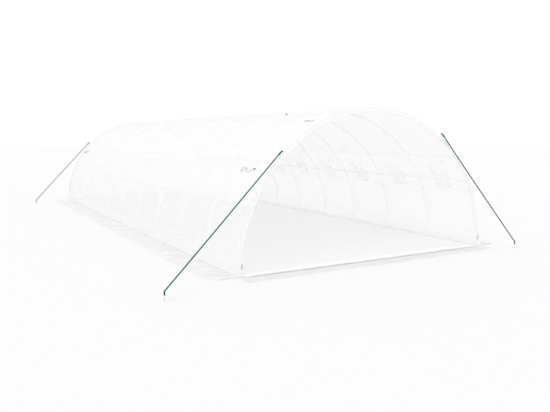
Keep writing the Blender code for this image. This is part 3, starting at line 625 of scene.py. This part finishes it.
def moulded_finish(name, colour, rough=0.4):
    """Moulded plastic with a fine grain and worn, duller patches."""
    finish = Finish(name, colour, rough)
    worn = finish.noise(finish.coordinates(), 60.0, 4.0)
    finish.tinted(finish.spread(worn, low=0.35), 0.85, 1.25)
    finish.drive("Roughness", finish.spread(worn, rough - 0.08, rough + 0.15))
    finish.bump(finish.noise(finish.coordinates(), 900.0, 2.0), 0.2, 0.0003)
    return finish.material


finishes = {}


def all_finishes():
    """The finishes, made once and kept by name."""
    if "film" not in finishes:
        tone = colours()
        finishes.update(
            film=film_finish("cover_film", tone.film, 0.64, 0.36, 0.35),
            roof=film_finish("roof_film", tone.film, 0.72, 0.33, 0.35),
            # The gathered flaps' finish is the cover's film made whiter, painted light.
            flap=film_finish("gathered_film", tone.gathered, 0.62, 0.92, 0.06),
            panel=film_finish("panel_film", tone.film, 0.62, 0.45, 0.5),
            tape=hem_finish("film_tape", tone.hem, 0.006, 0.80),
            roll=hem_finish("rolled_film", tone.hem, 0.05),
            # The bands' finish is the tapes' film made darker, painted shade.
            hem=hem_finish("folded_hem_painted_shade", tone.band),
            net=net_finish("insect_net"),
            steel=steel_finish("galvanised_steel", tone.steel),
            peg=steel_finish("peg_steel", tone.peg, 0.36, 0.75),
            webbing=webbing_finish("woven_webbing", tone.webbing),
            skirt=skirt_finish("ground_flap_film", tone.skirt),
            # The end flaps' finish is the side flaps' film made darker, painted shade.
            end_flap=skirt_finish("end_flap_film", tone.end_flap),
            teeth=moulded_finish("zip_teeth", tone.zip_white, 0.45),
            metal=steel_finish("zip_metal", tone.zip_metal, 0.34, 0.9),
            rope=rope_finish("green_rope", tone.rope),
            toggle=moulded_finish("black_toggle", tone.toggle),
            elastic=webbing_finish("elastic_cord", tone.elastic, 0.0012),
        )
    return finishes


def seen_directly(tree):
    """One for rays from the camera and for those that gloss and glass send on, else nought."""
    rays = add_node(tree, "LightPath")
    value = rays["Is Camera Ray"]
    for name in ("Is Glossy Ray", "Is Transmission Ray"):
        value = add_node(tree, "Math", {0: value, 1: rays[name]}, operation="MAXIMUM")[0]
    return value


def light(scene):
    """A white dome, a wide soft lamp from the upper left and a low fill lamp from the front."""
    world = scene.world = bpy.data.worlds.new("soft_sky")
    world.use_nodes = True
    tree = world.node_tree
    dome = tree.nodes["Background"]
    dome.inputs[0].default_value = WHITE
    dome.inputs[1].default_value = SKY
    backdrop = add_node(tree, "Background", {0: WHITE, 1: 1.0})[0]
    mix = add_node(tree, "MixShader", {0: seen_directly(tree), 1: dome.outputs[0], 2: backdrop})[0]
    tree.links.new(mix, tree.nodes["World Output"].inputs[0])
    for name, energy, wide, turn in LAMPS:
        lamp = bpy.data.objects.new(name, bpy.data.lights.new(name, "SUN"))
        lamp.data.energy = energy
        lamp.data.angle = math.radians(wide)
        lamp.rotation_euler = [math.radians(angle) for angle in turn]
        scene.collection.objects.link(lamp)


def floor():
    """A wide plain sheet, a little below the ground flaps."""
    edge = np.linspace(-60.0, 60.0, 13)
    points = np.stack(np.meshgrid(edge, edge, [FLOOR_DROP], indexing="ij"), -1)[:, :, 0]
    finish = bpy.data.materials.new("pale_floor")
    finish.use_nodes = True
    tree = finish.node_tree
    tree.nodes.remove(tree.nodes["Principled BSDF"])
    dull = add_node(tree, "BsdfDiffuse", {0: (*colours().floor, 1.0)})[0]
    weight = add_node(tree, "Math", {0: seen_directly(tree), 1: FLOOR_GLOW}, operation="MULTIPLY")[0]
    glow = add_node(tree, "Emission", {0: WHITE, 1: weight})[0]
    both = add_node(tree, "AddShader", {0: dull, 1: glow})[0]
    tree.links.new(both, tree.nodes["Material Output"].inputs[0])
    Shape().grid(points, turned=True).object("floor", finish, solid=False, crease=0)


class TENT_OT_stage(bpy.types.Operator):
    """Pale floor, soft light, white background and the camera at the photograph's place"""

    bl_idname = "tent.stage"
    bl_label = "Stage and camera"

    def execute(self, context):
        scene = context.scene
        scene.view_settings.view_transform = "Standard"
        scene.cycles.max_bounces = 32
        scene.cycles.diffuse_bounces = 20
        scene.cycles.glossy_bounces = 12
        scene.cycles.transmission_bounces = 20
        scene.cycles.transparent_max_bounces = 24
        camera = bpy.data.objects.new("camera", bpy.data.cameras.new("camera"))
        scene.collection.objects.link(camera)
        camera.data.sensor_width = SENSOR
        camera.data.lens = LENS
        camera.data.clip_end = 200.0
        turn = Matrix.Rotation(-YAW, 4, "Z") @ Matrix.Rotation(math.pi / 2 - PITCH, 4, "X")
        camera.matrix_world = Matrix.Translation(CAMERA_PLACE) @ turn @ Matrix.Rotation(ROLL, 4, "Z")
        scene.camera = camera
        light(scene)
        floor()
        return {"FINISHED"}


def loop_frame(name):
    """A loop's directions outwards and along the arch, and the sign of its end."""
    return (*radial(math.radians(LOOP_ANGLES[name])), ENDS[name.split("_")[0]])


def webbing_loop(name):
    """A webbing loop on the hem: a strap along a rounded rectangle that stands out past it, and the
    flat patch that it is sewn on."""
    out, side, end = loop_frame(name)
    low, high = RADIUS - LOOP_LOW, RADIUS + LOOP_HIGH
    turn = np.linspace(0, 2 * math.pi, 64, endpoint=False)
    across = LOOP_HALF * squared(np.cos(turn), LOOP_SQUARENESS)
    reach = (high + low) / 2 + (high - low) / 2 * squared(np.sin(turn), LOOP_SQUARENESS)
    path = np.outer(reach, out) + np.outer(across, side)
    path[:, 1] = end * LOOP_PLANE
    shape = Shape().tube(path, strap(0.0058, 0.0030), path - path.mean(0), 0.012, 0.11, looped=True)
    patch = np.outer(np.linspace(RADIUS - 0.040, RADIUS - 0.004, 9), out)
    patch += [0.0, end * (HALF_LENGTH + 0.0010), 0.0]
    shape.tube(patch, strap(0.0013, 0.026), end * Y_AXIS, 0.05, 0.036)
    shape.piece(name + "_webbing_loop", "webbing", "webbing", name + "_rope_loop")


def laid_rope(path, diameter, twist):
    """Three strands round a path: each strand's centre goes round it once per twist, a third of a
    turn from the others, and each is a round tube that presses a little into its neighbours."""
    shape = Shape()
    way = travelled(path)
    along = unit(np.gradient(path, axis=0))
    out = unit(np.cross(along, np.broadcast_to([0.31, 0.2, 0.93], path.shape)))
    side = np.cross(along, out)
    strand = diameter / 2 / (1 + 2 / math.sqrt(3))
    for third in range(3):
        turn = (2 * math.pi * (way / twist + third / 3))[:, None]
        outward = np.cos(turn) * out + np.sin(turn) * side
        centre = path + 2 / math.sqrt(3) * strand * outward
        shape.tube(centre, circle(strand * 1.08, 7), outward, 0.02, way)
    return shape


def guy_rope(name):
    """The rope, its knot at the loop, its turns round the peg and the peg itself."""
    thick = sizes().rope_diameter
    path = smooth_route(ROPE_ROUTES[name], 520)
    rope = laid_rope(path, thick, sizes().rope_twist)
    rope = rope.piece(name + "_guy_rope", "rope", "green_rope", name + "_rope")
    along = unit(path[39] - path[0])
    across = unit(np.cross(along, [0.2, 1.0, 0.1]))
    axes = (along, across, np.cross(along, across))
    start = path[0] + along * KNOT_START
    coil = coiled(start, axes, KNOT_REACH, KNOT_PITCH, KNOT_TURNS, 260)
    knot = Shape().tube(coil, circle(TWINE, 8), coil - start, 0.01, 0.49)
    out, _, end = loop_frame(name)
    eye = out * (RADIUS + 0.0275) + end * LOOP_PLANE * Y_AXIS
    turn = np.linspace(0, 2 * math.pi, 40, endpoint=False)[:, None]
    ring = eye + EYE_REACH * (np.cos(turn) * out + np.sin(turn) * Y_AXIS)
    knot.tube(ring, circle(EYE_THICK, 8), ring - eye, 0.02, 0.08, looped=True)
    knot = knot.piece(name + "_rope_knot", "rope", "green_rope")
    foot = np.array([*PEG_PLACES[name], WRAP_START])
    coil = coiled(foot, (Z_AXIS, X_AXIS, Y_AXIS), WRAP_REACH, WRAP_PITCH, WRAP_TURNS, 340)
    wrap = Shape().tube(coil, circle(TWINE, 8), Z_AXIS, 0.01, 0.53)
    wrap = wrap.piece(name + "_peg_wrap", "rope", "green_rope")
    ground_peg(name)


def ground_peg(name):
    """A round bar with its top bent over in a half circle that leans away from the tent."""
    x, y = PEG_PLACES[name]
    away = unit(np.array([x, y - math.copysign(HALF_LENGTH, y), 0.0]))
    turn = np.radians(np.linspace(0, HOOK_DEGREES, 16))[:, None]
    hook = np.array([x, y, PEG_TOP]) + HOOK * (away * (1 - np.cos(turn)) + Z_AXIS * np.sin(turn))
    shank = np.stack([np.full(12, x), np.full(12, y), np.linspace(0.0, PEG_TOP - 0.002, 12)], -1)
    path = np.concatenate([shank, hook])
    radii = np.full(len(path), PEG)
    radii[-1] = PEG_TIP
    shape = Shape().tube(path, circle(radii, 16), np.cross(away, Z_AXIS))
    return shape.piece(name + "_ground_peg", "peg", "peg_steel", name + "_peg")


class TENT_OT_ropes(bpy.types.Operator):
    """Taut three-strand guy ropes with their knots, pegs and the webbing loops that hold them"""

    bl_idname = "tent.ropes"
    bl_label = "Guy ropes, pegs and loops"

    def execute(self, context):
        for name in LOOP_ANGLES:
            webbing_loop(name)
        for name in ROPE_ROUTES:
            guy_rope(name)
        return {"FINISHED"}


def purlin_clip(shape, angle, place):
    """A strap under the purlin with both ends beside the hoop, and its two domed screws, each a
    profile of radius and height turned round its axis."""
    out, side = radial(angle)
    inner = LONG_TUBE + 0.0014
    turn = np.linspace(0, -math.pi, 15)
    legs = np.linspace(0.016, 0.001, 4)
    across = np.concatenate([np.full(4, inner), inner * np.cos(turn), np.full(4, -inner)])
    rise = np.concatenate([legs, inner * np.sin(turn), legs[::-1]])
    centre = PURLIN_REACH * out + [0.0, place, 0.0]
    path = centre + across[:, None] * side + rise[:, None] * out
    shape.tube(path, strap(0.002, 0.016), path - centre)
    dome = np.array(SCREW_DOME)
    ring = circle(1.0, 12)
    for face in (-1, 1):
        axis = side * face
        first = unit(np.cross(axis, [0.3, 0.9, 0.31]))
        round_axis = ring[:, :1] * first + ring[:, 1:] * np.cross(axis, first)
        head = centre + out * 0.011 + axis * (inner + 0.0008)
        shape.grid(head + dome[:, None, :1] * round_axis + dome[:, None, 1:] * axis, around=True)


def hoop_foot(shape, side, place, corner):
    """A sleeve round the base rail, or a corner socket with one arm each way."""
    arms = [(-0.03, 0.03, 7, Y_AXIS)]
    if corner:
        arms = [(-0.012, 0.05, 6, -np.sign(place) * Y_AXIS), (-0.006, 0.05, 6, -side * X_AXIS)]
    for start, end, count, way in arms:
        path = np.array([side * RAIL_X, place, RAIL_Z]) + np.outer(np.linspace(start, end, count), way)
        radii = np.full(count, SLEEVE)
        radii[[0, -1]] -= 0.0006
        shape.tube(path, circle(radii, 14), Z_AXIS)


class TENT_OT_hoops(bpy.types.Operator):
    """Bent steel hoops with purlin clips, screws and the sleeves at their feet"""

    bl_idname = "tent.hoops"
    bl_label = "Hoops"

    def execute(self, context):
        low = math.atan2(RAIL_Z, RAIL_X)
        angles = np.linspace(low, math.pi - low, 121)
        for index, place in enumerate(HOOPS):
            path = arch(HOOP_REACH, angles, place)
            shape = Shape().tube(path, circle(HOOP_TUBE, 14), path, 0.08, angles * HOOP_REACH)
            for corner in PURLINS.values():
                purlin_clip(shape, math.radians(corner), place)
            for side in SIDES.values():
                hoop_foot(shape, side, place, index in (0, BAYS))
            number = "_{:02d}".format(index + 1)
            shape.piece("hoop_tube" + number, "steel", "galvanised_tube", "hoop" + number)
        return {"FINISHED"}


def long_tube(name, start, end):
    """A round tube in five lengths pushed into each other: it narrows at each joint."""
    start, end = np.asarray(start, float), np.asarray(end, float)
    length = float(np.linalg.norm(end - start))
    joints = np.arange(1, 5) / 5 * length + 0.12
    grooves = joints[:, None] + np.array([-0.0030, -0.0016, 0.0, 0.0016, 0.0030])
    places = np.sort(np.concatenate([np.linspace(0, length, 41), grooves.ravel()]))
    depth = np.exp(-((places[:, None] - joints) / 0.0016) ** 2).sum(1)
    radii = LONG_TUBE - 0.0008 * depth
    radii[[0, -1]] -= 0.0006
    path = start + places[:, None] * unit(end - start)
    shape = Shape().tube(path, circle(radii, 16), [0.1, 0.05, 1.0], 0.06, places)
    label = name.replace("_rail", "_rail_tube").replace("_bar", "_bar_tube") + "_round"
    shape.piece(label, "steel", "galvanised_tube", name)


class TENT_OT_long_tubes(bpy.types.Operator):
    """Purlins under the hoops, rails through their feet and bars across both ends"""

    bl_idname = "tent.long_tubes"
    bl_label = "Purlins, rails and ground bars"

    def execute(self, context):
        for name, corner in PURLINS.items():
            low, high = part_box(name)
            angle = math.radians(corner)
            long_tube(name, arch(PURLIN_REACH, angle, low.y), arch(PURLIN_REACH, angle, high.y))
        for name, side in SIDES.items():
            low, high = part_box(name + "_base_rail")
            x = side * RAIL_X
            long_tube(name + "_base_rail", (x, low.y, RAIL_Z), (x, high.y, RAIL_Z))
        for name in ENDS:
            low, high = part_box(name + "_ground_bar")
            y = (low.y + high.y) / 2
            long_tube(name + "_ground_bar", (low.x, y, RAIL_Z), (high.x, y, RAIL_Z))
        return {"FINISHED"}


def wall_film(name, side):
    """One wall on a grid of arc by length; cells inside a window opening are left out."""
    foot = np.linspace(0.0004, LOW_ARC, 6, endpoint=False)
    window = np.linspace(LOW_ARC, HIGH_ARC, 14, endpoint=False)
    arcs = np.concatenate([foot, window, np.linspace(HIGH_ARC, SEAM_ARC, 13)])
    rows = film_rows()
    middle_arc = (arcs[1:] + arcs[:-1]) / 2
    middle_row = (rows[1:] + rows[:-1]) / 2
    off = np.abs(middle_row[:, None] - BAY_MIDDLES).min(1)
    hole = (off < WINDOW_HALF)[:, None] & ((middle_arc > LOW_ARC) & (middle_arc < HIGH_ARC))
    shape = Shape().draped(side, arcs, rows, 0.0, ~hole)
    return shape.film(name + "_wall_film", "film", "film", name + "_wall_cover")


def cover_seam(name, side):
    """A lapped seam strip along the top of the wall, turned down to the film at both edges."""
    section = tape(0.030)
    rows = np.linspace(-FILM_END, FILM_END, 241)
    shape = Shape().draped(side, SEAM_ARC + section[:, 1], rows, section[:, 0])
    return shape.piece(name + "_cover_seam", "tape", "film", solid=False)


class TENT_OT_cover(bpy.types.Operator):
    """The film cover: a roof and two walls with window openings, and the sewn seams between"""

    bl_idname = "tent.cover"
    bl_label = "Film cover"

    def execute(self, context):
        arcs = np.linspace(SEAM_ARC, math.pi * RADIUS - SEAM_ARC, 81)
        roof = Shape().draped(-1, arcs, film_rows(), 0.0).film("roof_film", "roof", "film", "roof_cover")
        walls = [(wall_film(name, side), cover_seam(name, side)) for name, side in SIDES.items()]
        return {"FINISHED"}


def window_outline():
    """A rounded rectangle of length and arc round one window opening, measured from its middle:
    even points and their way round it."""
    half = np.array([WINDOW_HALF, WINDOW_TALL / 2]) + 0.006
    corner = 0.03
    turn = np.radians(np.linspace(0, 90, 7))
    quarter = half - corner + corner * np.stack([np.cos(turn), np.sin(turn)], -1)
    turned = [(quarter * [-1, 1])[::-1], quarter * [-1, -1], (quarter * [1, -1])[::-1]]
    loop = np.concatenate([quarter, *turned, quarter[:1]])
    way = travelled(loop)
    even = np.linspace(0, way[-1], 192, endpoint=False)
    return np.stack([np.interp(even, way, loop[:, 0]), np.interp(even, way, loop[:, 1])], -1), even


def window_nets(name, side):
    """One flat net a bay, just inside the film, bellied in a little at its middle by the product
    of two cosines."""
    shape = Shape()
    arcs = np.linspace(LOW_ARC - NET_LAP, HIGH_ARC + NET_LAP, 13)
    steps = np.linspace(-WINDOW_HALF - NET_LAP, WINDOW_HALF + NET_LAP, 19)
    belly = np.outer(*(np.cos(np.linspace(-0.5, 0.5, count) * math.pi) for count in (19, 13)))
    for middle in BAY_MIDDLES:
        shape.draped(side, arcs, middle + steps, -0.0008 - 0.004 * belly)
    return shape.film(name + "_insect_nets", "net", "window_net", name + "_window_net")


def window_binding(name, side):
    """A folded tape over each opening's edge: its section carried round the outline."""
    shape = Shape()
    outline, way = window_outline()
    ahead = unit(np.roll(outline, -1, 0) - np.roll(outline, 1, 0))
    normal = np.stack([ahead[:, 1], -ahead[:, 0]], -1)
    section = tape(0.022)
    place = outline[:, None] + section[:, 1:] * normal[:, None]
    for middle in BAY_MIDDLES:
        points = on_cover(side, MIDDLE_ARC + place[..., 1], middle + place[..., 0], section[:, 0])
        shape.grid(points, looped=True, turned=side < 0, marks=(section[:, 1], way))
    return shape.piece(name + "_window_binding", "tape", "film", solid=False)


class TENT_OT_windows(bpy.types.Operator):
    """Insect nets in the window openings, with a bound edge round each opening"""

    bl_idname = "tent.windows"
    bl_label = "Window nets"

    def execute(self, context):
        for name, side in SIDES.items():
            net = window_nets(name, side)
            window_binding(name, side)
        return {"FINISHED"}


def gathered_flap(shape, side, middle, index):
    """One flap's cloth. Down from the seam strip it goes, folds at the bottom and comes up again
    inside. Its width narrows from the window's to the bundle's, while pleats, a sine across the
    width, grow to take up most of the cloth. Behind the purlin the depth is squeezed to about
    half."""
    across = np.linspace(-1, 1, 14 * sizes().pleats + 1)[:, None]
    way = np.linspace(0, 1, 56)[None]
    down = np.clip(way / 0.62, 0, 1)
    up = eased(np.clip((way - 0.66) / 0.34, 0, 1))
    arc = FLAP_TOP + (FLAP_BOTTOM - FLAP_TOP) * down + (FLAP_TUCK - FLAP_BOTTOM) * up
    degrees = np.degrees(arc / RADIUS)
    half = np.interp(degrees, FLAP_DEGREES, FLAP_HALVES) * (1 - 0.10 * up)
    gather = eased((38.6 - degrees) / 4.5)
    phase = math.pi * sizes().pleats * across + 1.3 * index + 0.8 * np.sin(7 * way + index)
    pleat = 0.5 + 0.5 * np.sin(phase + 0.9 * np.sin(2.3 * across * math.pi + index))
    uneven = 0.8 + 0.2 * np.sin(5 * across + 1.7 * index)
    squeeze = 1 - 0.52 * np.exp(-(((degrees - 30) / 1.25) ** 4))
    behind = 0.0185 * eased((way - 0.56) / 0.12)
    depth = 0.0012 + squeeze * (0.021 * gather * pleat * uneven + behind)
    along = middle + across * half + 0.006 * gather * np.cos(phase)
    marks = (way[0] * 0.63, middle + across[:, 0] * WINDOW_HALF)
    shape.grid(on_cover(side, arc, along, -depth), turned=side > 0, marks=marks)


def flap_ties(name, side):
    """Two webbing straps a flap: down inside the bundle, round its bottom and up behind it."""
    shape = Shape()
    knots = np.arange(len(TIE_DEGREES))
    fine = np.linspace(0, knots[-1], 61)
    arcs = np.radians(np.interp(fine, knots, TIE_DEGREES)) * RADIUS
    depths = np.interp(fine, knots, TIE_DEPTHS)
    for middle in BAY_MIDDLES:
        for shift in (-TIE_SHIFT, TIE_SHIFT):
            path = on_cover(side, arcs, middle + shift, -depths)
            shape.tube(path, strap(0.0015, 0.018), path * FROM_AXIS, 0.04, fine * 0.03)
    return shape.piece(name + "_flap_ties", "webbing", "webbing")


class TENT_OT_flaps(bpy.types.Operator):
    """Window flaps gathered up in pleats above the windows inside, held by webbing ties"""

    bl_idname = "tent.flaps"
    bl_label = "Gathered window flaps"

    def execute(self, context):
        for name, side in SIDES.items():
            shape = Shape()
            for index, middle in enumerate(BAY_MIDDLES):
                gathered_flap(shape, side, middle, index)
            flap = shape.film(name + "_gathered_flaps", "flap", "gathered_film", name + "_window_flaps")
            flap_ties(name, side)
        return {"FINISHED"}


def barrel_toggle(name, centre, half, *nodes):
    """A barrel with a waist where its cord goes round, lifted so that it lies on the film."""
    centre = np.array(centre, float)
    across = np.linspace(-1, 1, 33)
    body = TOGGLE_REACH * (1 - 0.22 * across**2) * np.sqrt(1 - np.abs(across) ** 12)
    waist = TOGGLE_WAIST * np.exp(-((across / 0.12) ** 2))
    path = centre + unit(centre * FROM_AXIS) * TOGGLE_LIFT + np.outer(across * half, Y_AXIS)
    shape = Shape().tube(path, circle(np.maximum(body - waist, 0.0004), 18), Z_AXIS)
    shape.piece(name + "_barrel_toggle", "toggle", "black_toggle", *nodes)


def loose_cord(name, arc, along, size):
    """A thin elastic cord that lies on the film in a slack curl: a smooth curve through knots of
    places along and arcs up, times the size, lifted where it crosses itself."""
    flat = smooth_route(np.array(CURL) * size, 150)
    lift = 0.0040 + 0.0030 * np.exp(-(((np.linspace(0, 1, 150) - 0.84) / 0.05) ** 2))
    path = on_cover(-1, arc + flat[:, 1], along + flat[:, 0], lift)
    shape = Shape().tube(path, circle(CORD_DIAMETER / 2, 8), path * FROM_AXIS, 0.015, 0.6)
    shape.piece(name, "elastic", "black_toggle")


class TENT_OT_toggles(bpy.types.Operator):
    """Barrel toggles on the film, two looped elastic cords beside them and a loose one on the roof"""

    bl_idname = "tent.toggles"
    bl_label = "Toggles"

    def execute(self, context):
        for name in LOOP_ANGLES:
            low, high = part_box(name + "_toggle")
            barrel_toggle(name, (low + high) / 2, (high.y - low.y) / 2, name + "_toggle")
        barrel_toggle("roof", arch(RADIUS + 0.0047, *ROOF_TOGGLE), ROOF_TOGGLE_HALF)
        for name, angle, along, size in LOOSE_CORDS:
            loose_cord(name, math.radians(angle) * RADIUS, along, size)
        return {"FINISHED"}


def hem_band(name, end):
    """A flat folded band along the arch, with a piped bead on its outer edge."""
    angles = np.linspace(0.0008, math.pi - 0.0008, 181)
    path = arch((RADIUS + (RADIUS - BAND)) / 2, angles, end * END_PLANE)
    section = strap(BAND, BAND_THICK, 16, 0.3)
    shape = Shape().tube(path, section, path * FROM_AXIS, 0.1, angles * RADIUS)
    bead = arch(RADIUS - 0.0020, angles, end * (HALF_LENGTH + 0.0004))
    shape.tube(bead, circle(0.0028, 8), bead * FROM_AXIS, 0.02, angles * RADIUS)
    shape.piece(name + "_hem_band", "hem", "ground_flap", name + "_end_band")


def zip_chain(name, end):
    """Zip teeth: small blocks at even steps along the arch, by turns a little out and in, on a
    cord."""
    low = 0.004 / CHAIN_REACH
    count = int((math.pi - 2 * low) * CHAIN_REACH / sizes().tooth_pitch)
    angles = np.linspace(low, math.pi - low, count)[:, None]
    corners = np.array([(a, b, c) for a in (-1, 1) for b in (-1, 1) for c in (-1, 1)], float)
    shift = np.where(np.arange(count) % 2, 1, -1)[:, None] * TOOTH_SHIFT
    reach = CHAIN_REACH + shift + corners[:, 0] * TOOTH_OUT
    turn = angles + corners[:, 1] * (TOOTH_ROUND / CHAIN_REACH)
    along = end * END_PLANE + corners[:, 2] * TOOTH_ALONG
    shape = Shape().blocks(arch(reach, turn, along), CUBE_FACES)
    path = arch(CHAIN_REACH, np.linspace(low, math.pi - low, 121), end * END_PLANE)
    shape.tube(path, strap(0.0028, 0.0018, 8), path * FROM_AXIS)
    shape.piece(name + "_zip_teeth", "teeth", "zip_coil", name + "_zip_chain")


class TENT_OT_bands(bpy.types.Operator):
    """Hem bands round both arched ends, and the zips on their inner edges"""

    bl_idname = "tent.bands"
    bl_label = "End bands and zips"

    def execute(self, context):
        for name, end in ENDS.items():
            hem_band(name, end)
            zip_chain(name, end)
        return {"FINISHED"}


def rear_panel():
    """A half disc of film: columns across by a sine, rows up to the circle, with soft folds that
    hang from the arch and belly inwards, so that it can lie flat when it is opened."""
    edge = math.radians(89.0)
    across = PANEL_REACH * np.sin(np.linspace(-edge, edge, 121))[:, None]
    rise = np.linspace(0, 1, 61)[None]
    height = 0.0022 + rise * (np.sqrt(PANEL_REACH**2 - across**2) - 0.0022)
    inside = np.sin(math.pi * rise) * np.cos(across / PANEL_REACH * math.pi / 2)
    folds = 0.5 + 0.25 * np.sin(5.2 * across + 1.5 * height) + 0.25 * np.sin(11 * across - 2 * height + 1)
    along = END_PLANE - PANEL_BELLY * inside * folds
    points = np.stack(np.broadcast_arrays(across, along, height), -1)
    panel = Shape().grid(points, turned=True, marks=(rise[0] * PANEL_REACH, across[:, 0]))
    panel = panel.film("rear_panel_film", "panel", "film", "rear_end_panel", body="rear_door")
    rim = np.linspace(math.radians(1.0), math.pi - math.radians(1.0), 181)
    path = arch(PANEL_REACH - 0.0130, rim, END_PLANE + 0.0002)
    hem = Shape().tube(path, strap(0.025, 0.0012), path * FROM_AXIS, 0.06, rim * PANEL_REACH)
    hem = hem.piece("rear_panel_hem", "hem", "film", body="rear_door")


def roll_reach(share):
    """The roll's radius at a share of its half length: the fourth root of one less the square."""
    return ROLL_CORE + ROLL_SWELL * np.maximum(1 - share**2, 0) ** 0.25


def front_roll():
    """The panel wound up: at each place across the sill a spiral from the middle out to the roll's
    radius, thick at the middle where the panel was tallest, with five tie straps."""
    half = float(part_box("front_panel_roll")[1].x)
    across = np.linspace(-1, 1, 71)[:, None]
    turn = np.linspace(2.0, 2 * math.pi * ROLL_TURNS, 500)[None]
    reach = roll_reach(across)
    radius = reach * (turn / turn.max()) * (1 - 0.02 * np.sin(17 * across) ** 2)
    middle = np.stack([across * half, -HALF_LENGTH - reach, ROLL_LIFT + reach], -1)
    points = middle + np.stack([0 * radius, radius * np.cos(turn), radius * np.sin(turn)], -1)
    roll = Shape().grid(points, turned=True, marks=(turn[0] * 0.012, across[:, 0] * half))
    roll = roll.film("front_rolled_panel", "roll", "gathered_film", "front_panel_roll")
    straps = Shape()
    ring = np.linspace(0, 2 * math.pi, 40, endpoint=False)
    for share in (-0.8, -0.4, 0.0, 0.4, 0.8):
        size = roll_reach(share)
        along = -HALF_LENGTH - size + (size + 0.0008) * np.cos(ring)
        high = np.maximum(ROLL_LIFT + size + (size + 0.0008) * np.sin(ring), 0.0019)
        path = np.stack([np.full(40, share * half), along, high], -1)
        straps.tube(path, strap(0.0012, 0.025), path - path.mean(0), 0.05, ring * size, looped=True)
    straps = straps.piece("front_roll_ties", "webbing", "webbing")


class TENT_OT_panels(bpy.types.Operator):
    """The rear end panel, zipped in, and the front one, rolled down on the sill"""

    bl_idname = "tent.panels"
    bl_label = "End panels"

    def execute(self, context):
        rear_panel()
        front_roll()
        return {"FINISHED"}


def ground_flap(name, side, half, inner, width, crossing, lift):
    """A grid from the cover's foot out to a wavy edge, the width plus two sines of the place along
    it; the side flaps narrow by a fifth at their corners. Its height is a half and three sines of
    the places along and across, kept above nought, times a squared sine that peaks five eighths of
    the way out, times the lift, which is next to nothing where the opened panel comes to lie."""
    run = np.linspace(-half, half, int(half * 40))[:, None]
    out = np.linspace(0, 1, 15)[None]
    place = run if crossing else side * run
    wide = width + FLAP_WAVE * (0.7 * np.sin(2.1 * place + 0.7) + 0.3 * np.sin(5.3 * place + 1.9))
    if not crossing:
        wide = wide * (1 - 0.2 * eased((np.abs(run) - half + 0.25) / 0.25))
    wave = 0.5 + 0.30 * np.sin(7.5 * run + 2.2 * out + 1.1 * side) + 0.25 * np.sin(17.0 * run - 3.0 * out)
    wave = wave + 0.22 * np.sin(3.1 * run + 6.0 * out + 0.8)
    high = 0.0010 + lift * np.maximum(wave, 0) * np.sin(math.pi * out * 0.8) ** 2
    away = side * (inner + 0.0006 + out * wide)
    points = np.stack(np.broadcast_arrays(*((run, away) if crossing else (away, run)), high), -1)
    turned = side > 0 if crossing else side < 0
    shape = Shape().grid(points, turned=turned, marks=(out[0] * width, run[:, 0]))
    # The end flaps take the darker film, painted shade.
    piece = shape.film(
        name + "_ground_flap", "end_flap" if crossing else "skirt", "ground_flap", name + "_skirt"
    )


class TENT_OT_skirts(bpy.types.Operator):
    """Slack film flaps on the ground along the sides and both ends"""

    bl_idname = "tent.skirts"
    bl_label = "Ground flaps"

    def execute(self, context):
        lift = sizes().skirt_lift
        for name, side in SIDES.items():
            ground_flap(name, side, HALF_LENGTH, RADIUS, SIDE_FLAP, False, lift)
        ground_flap("front", -1, RADIUS, HALF_LENGTH, END_FLAP, True, lift)
        ground_flap("rear", 1, RADIUS, HALF_LENGTH, END_FLAP, True, FLAT_LIFT)
        return {"FINISHED"}


class TENT_OT_fittings(bpy.types.Operator):
    """Finishes for the zip sliders and their pull tabs, whose shapes the frame already has"""

    bl_idname = "tent.fittings"
    bl_label = "Zip sliders and pulls"

    def execute(self, context):
        for name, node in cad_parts.items():
            if name.endswith(("_slider", "_pull")):
                node.data.materials.clear()
                node.data.materials.append(all_finishes()["metal"])
        return {"FINISHED"}


OPERATORS = (
    TENT_OT_stage, TENT_OT_ropes, TENT_OT_hoops, TENT_OT_long_tubes, TENT_OT_cover, TENT_OT_windows,
    TENT_OT_flaps, TENT_OT_toggles, TENT_OT_bands, TENT_OT_panels, TENT_OT_skirts, TENT_OT_fittings,
)


class TENT_PT_panel(bpy.types.Panel):
    """Lists the tent's pieces with their sizes and colours"""

    bl_idname = "TENT_PT_panel"
    bl_label = "Tunnel greenhouse"
    bl_space_type = "VIEW_3D"
    bl_region_type = "UI"
    bl_category = "Greenhouse"

    def draw(self, context):
        for operator in OPERATORS:
            self.layout.operator(operator.bl_idname)
        for group in (context.scene.tent_sizes, context.scene.tent_colours):
            box = self.layout.box()
            for key in group.__annotations__:
                box.prop(group, key)


CLASSES = (TentSizes, TentColours, *OPERATORS, TENT_PT_panel)


def register():
    for cls in CLASSES:
        bpy.utils.register_class(cls)
    bpy.types.Scene.tent_sizes = bpy.props.PointerProperty(type=TentSizes)
    bpy.types.Scene.tent_colours = bpy.props.PointerProperty(type=TentColours)


def unregister():
    del bpy.types.Scene.tent_colours
    del bpy.types.Scene.tent_sizes
    for cls in reversed(CLASSES):
        bpy.utils.unregister_class(cls)


def main():
    """Makes every piece in order."""
    register()
    for operator in OPERATORS:
        group, name = operator.bl_idname.split(".")
        getattr(getattr(bpy.ops, group), name)()


if __name__ == "__main__":
    main()
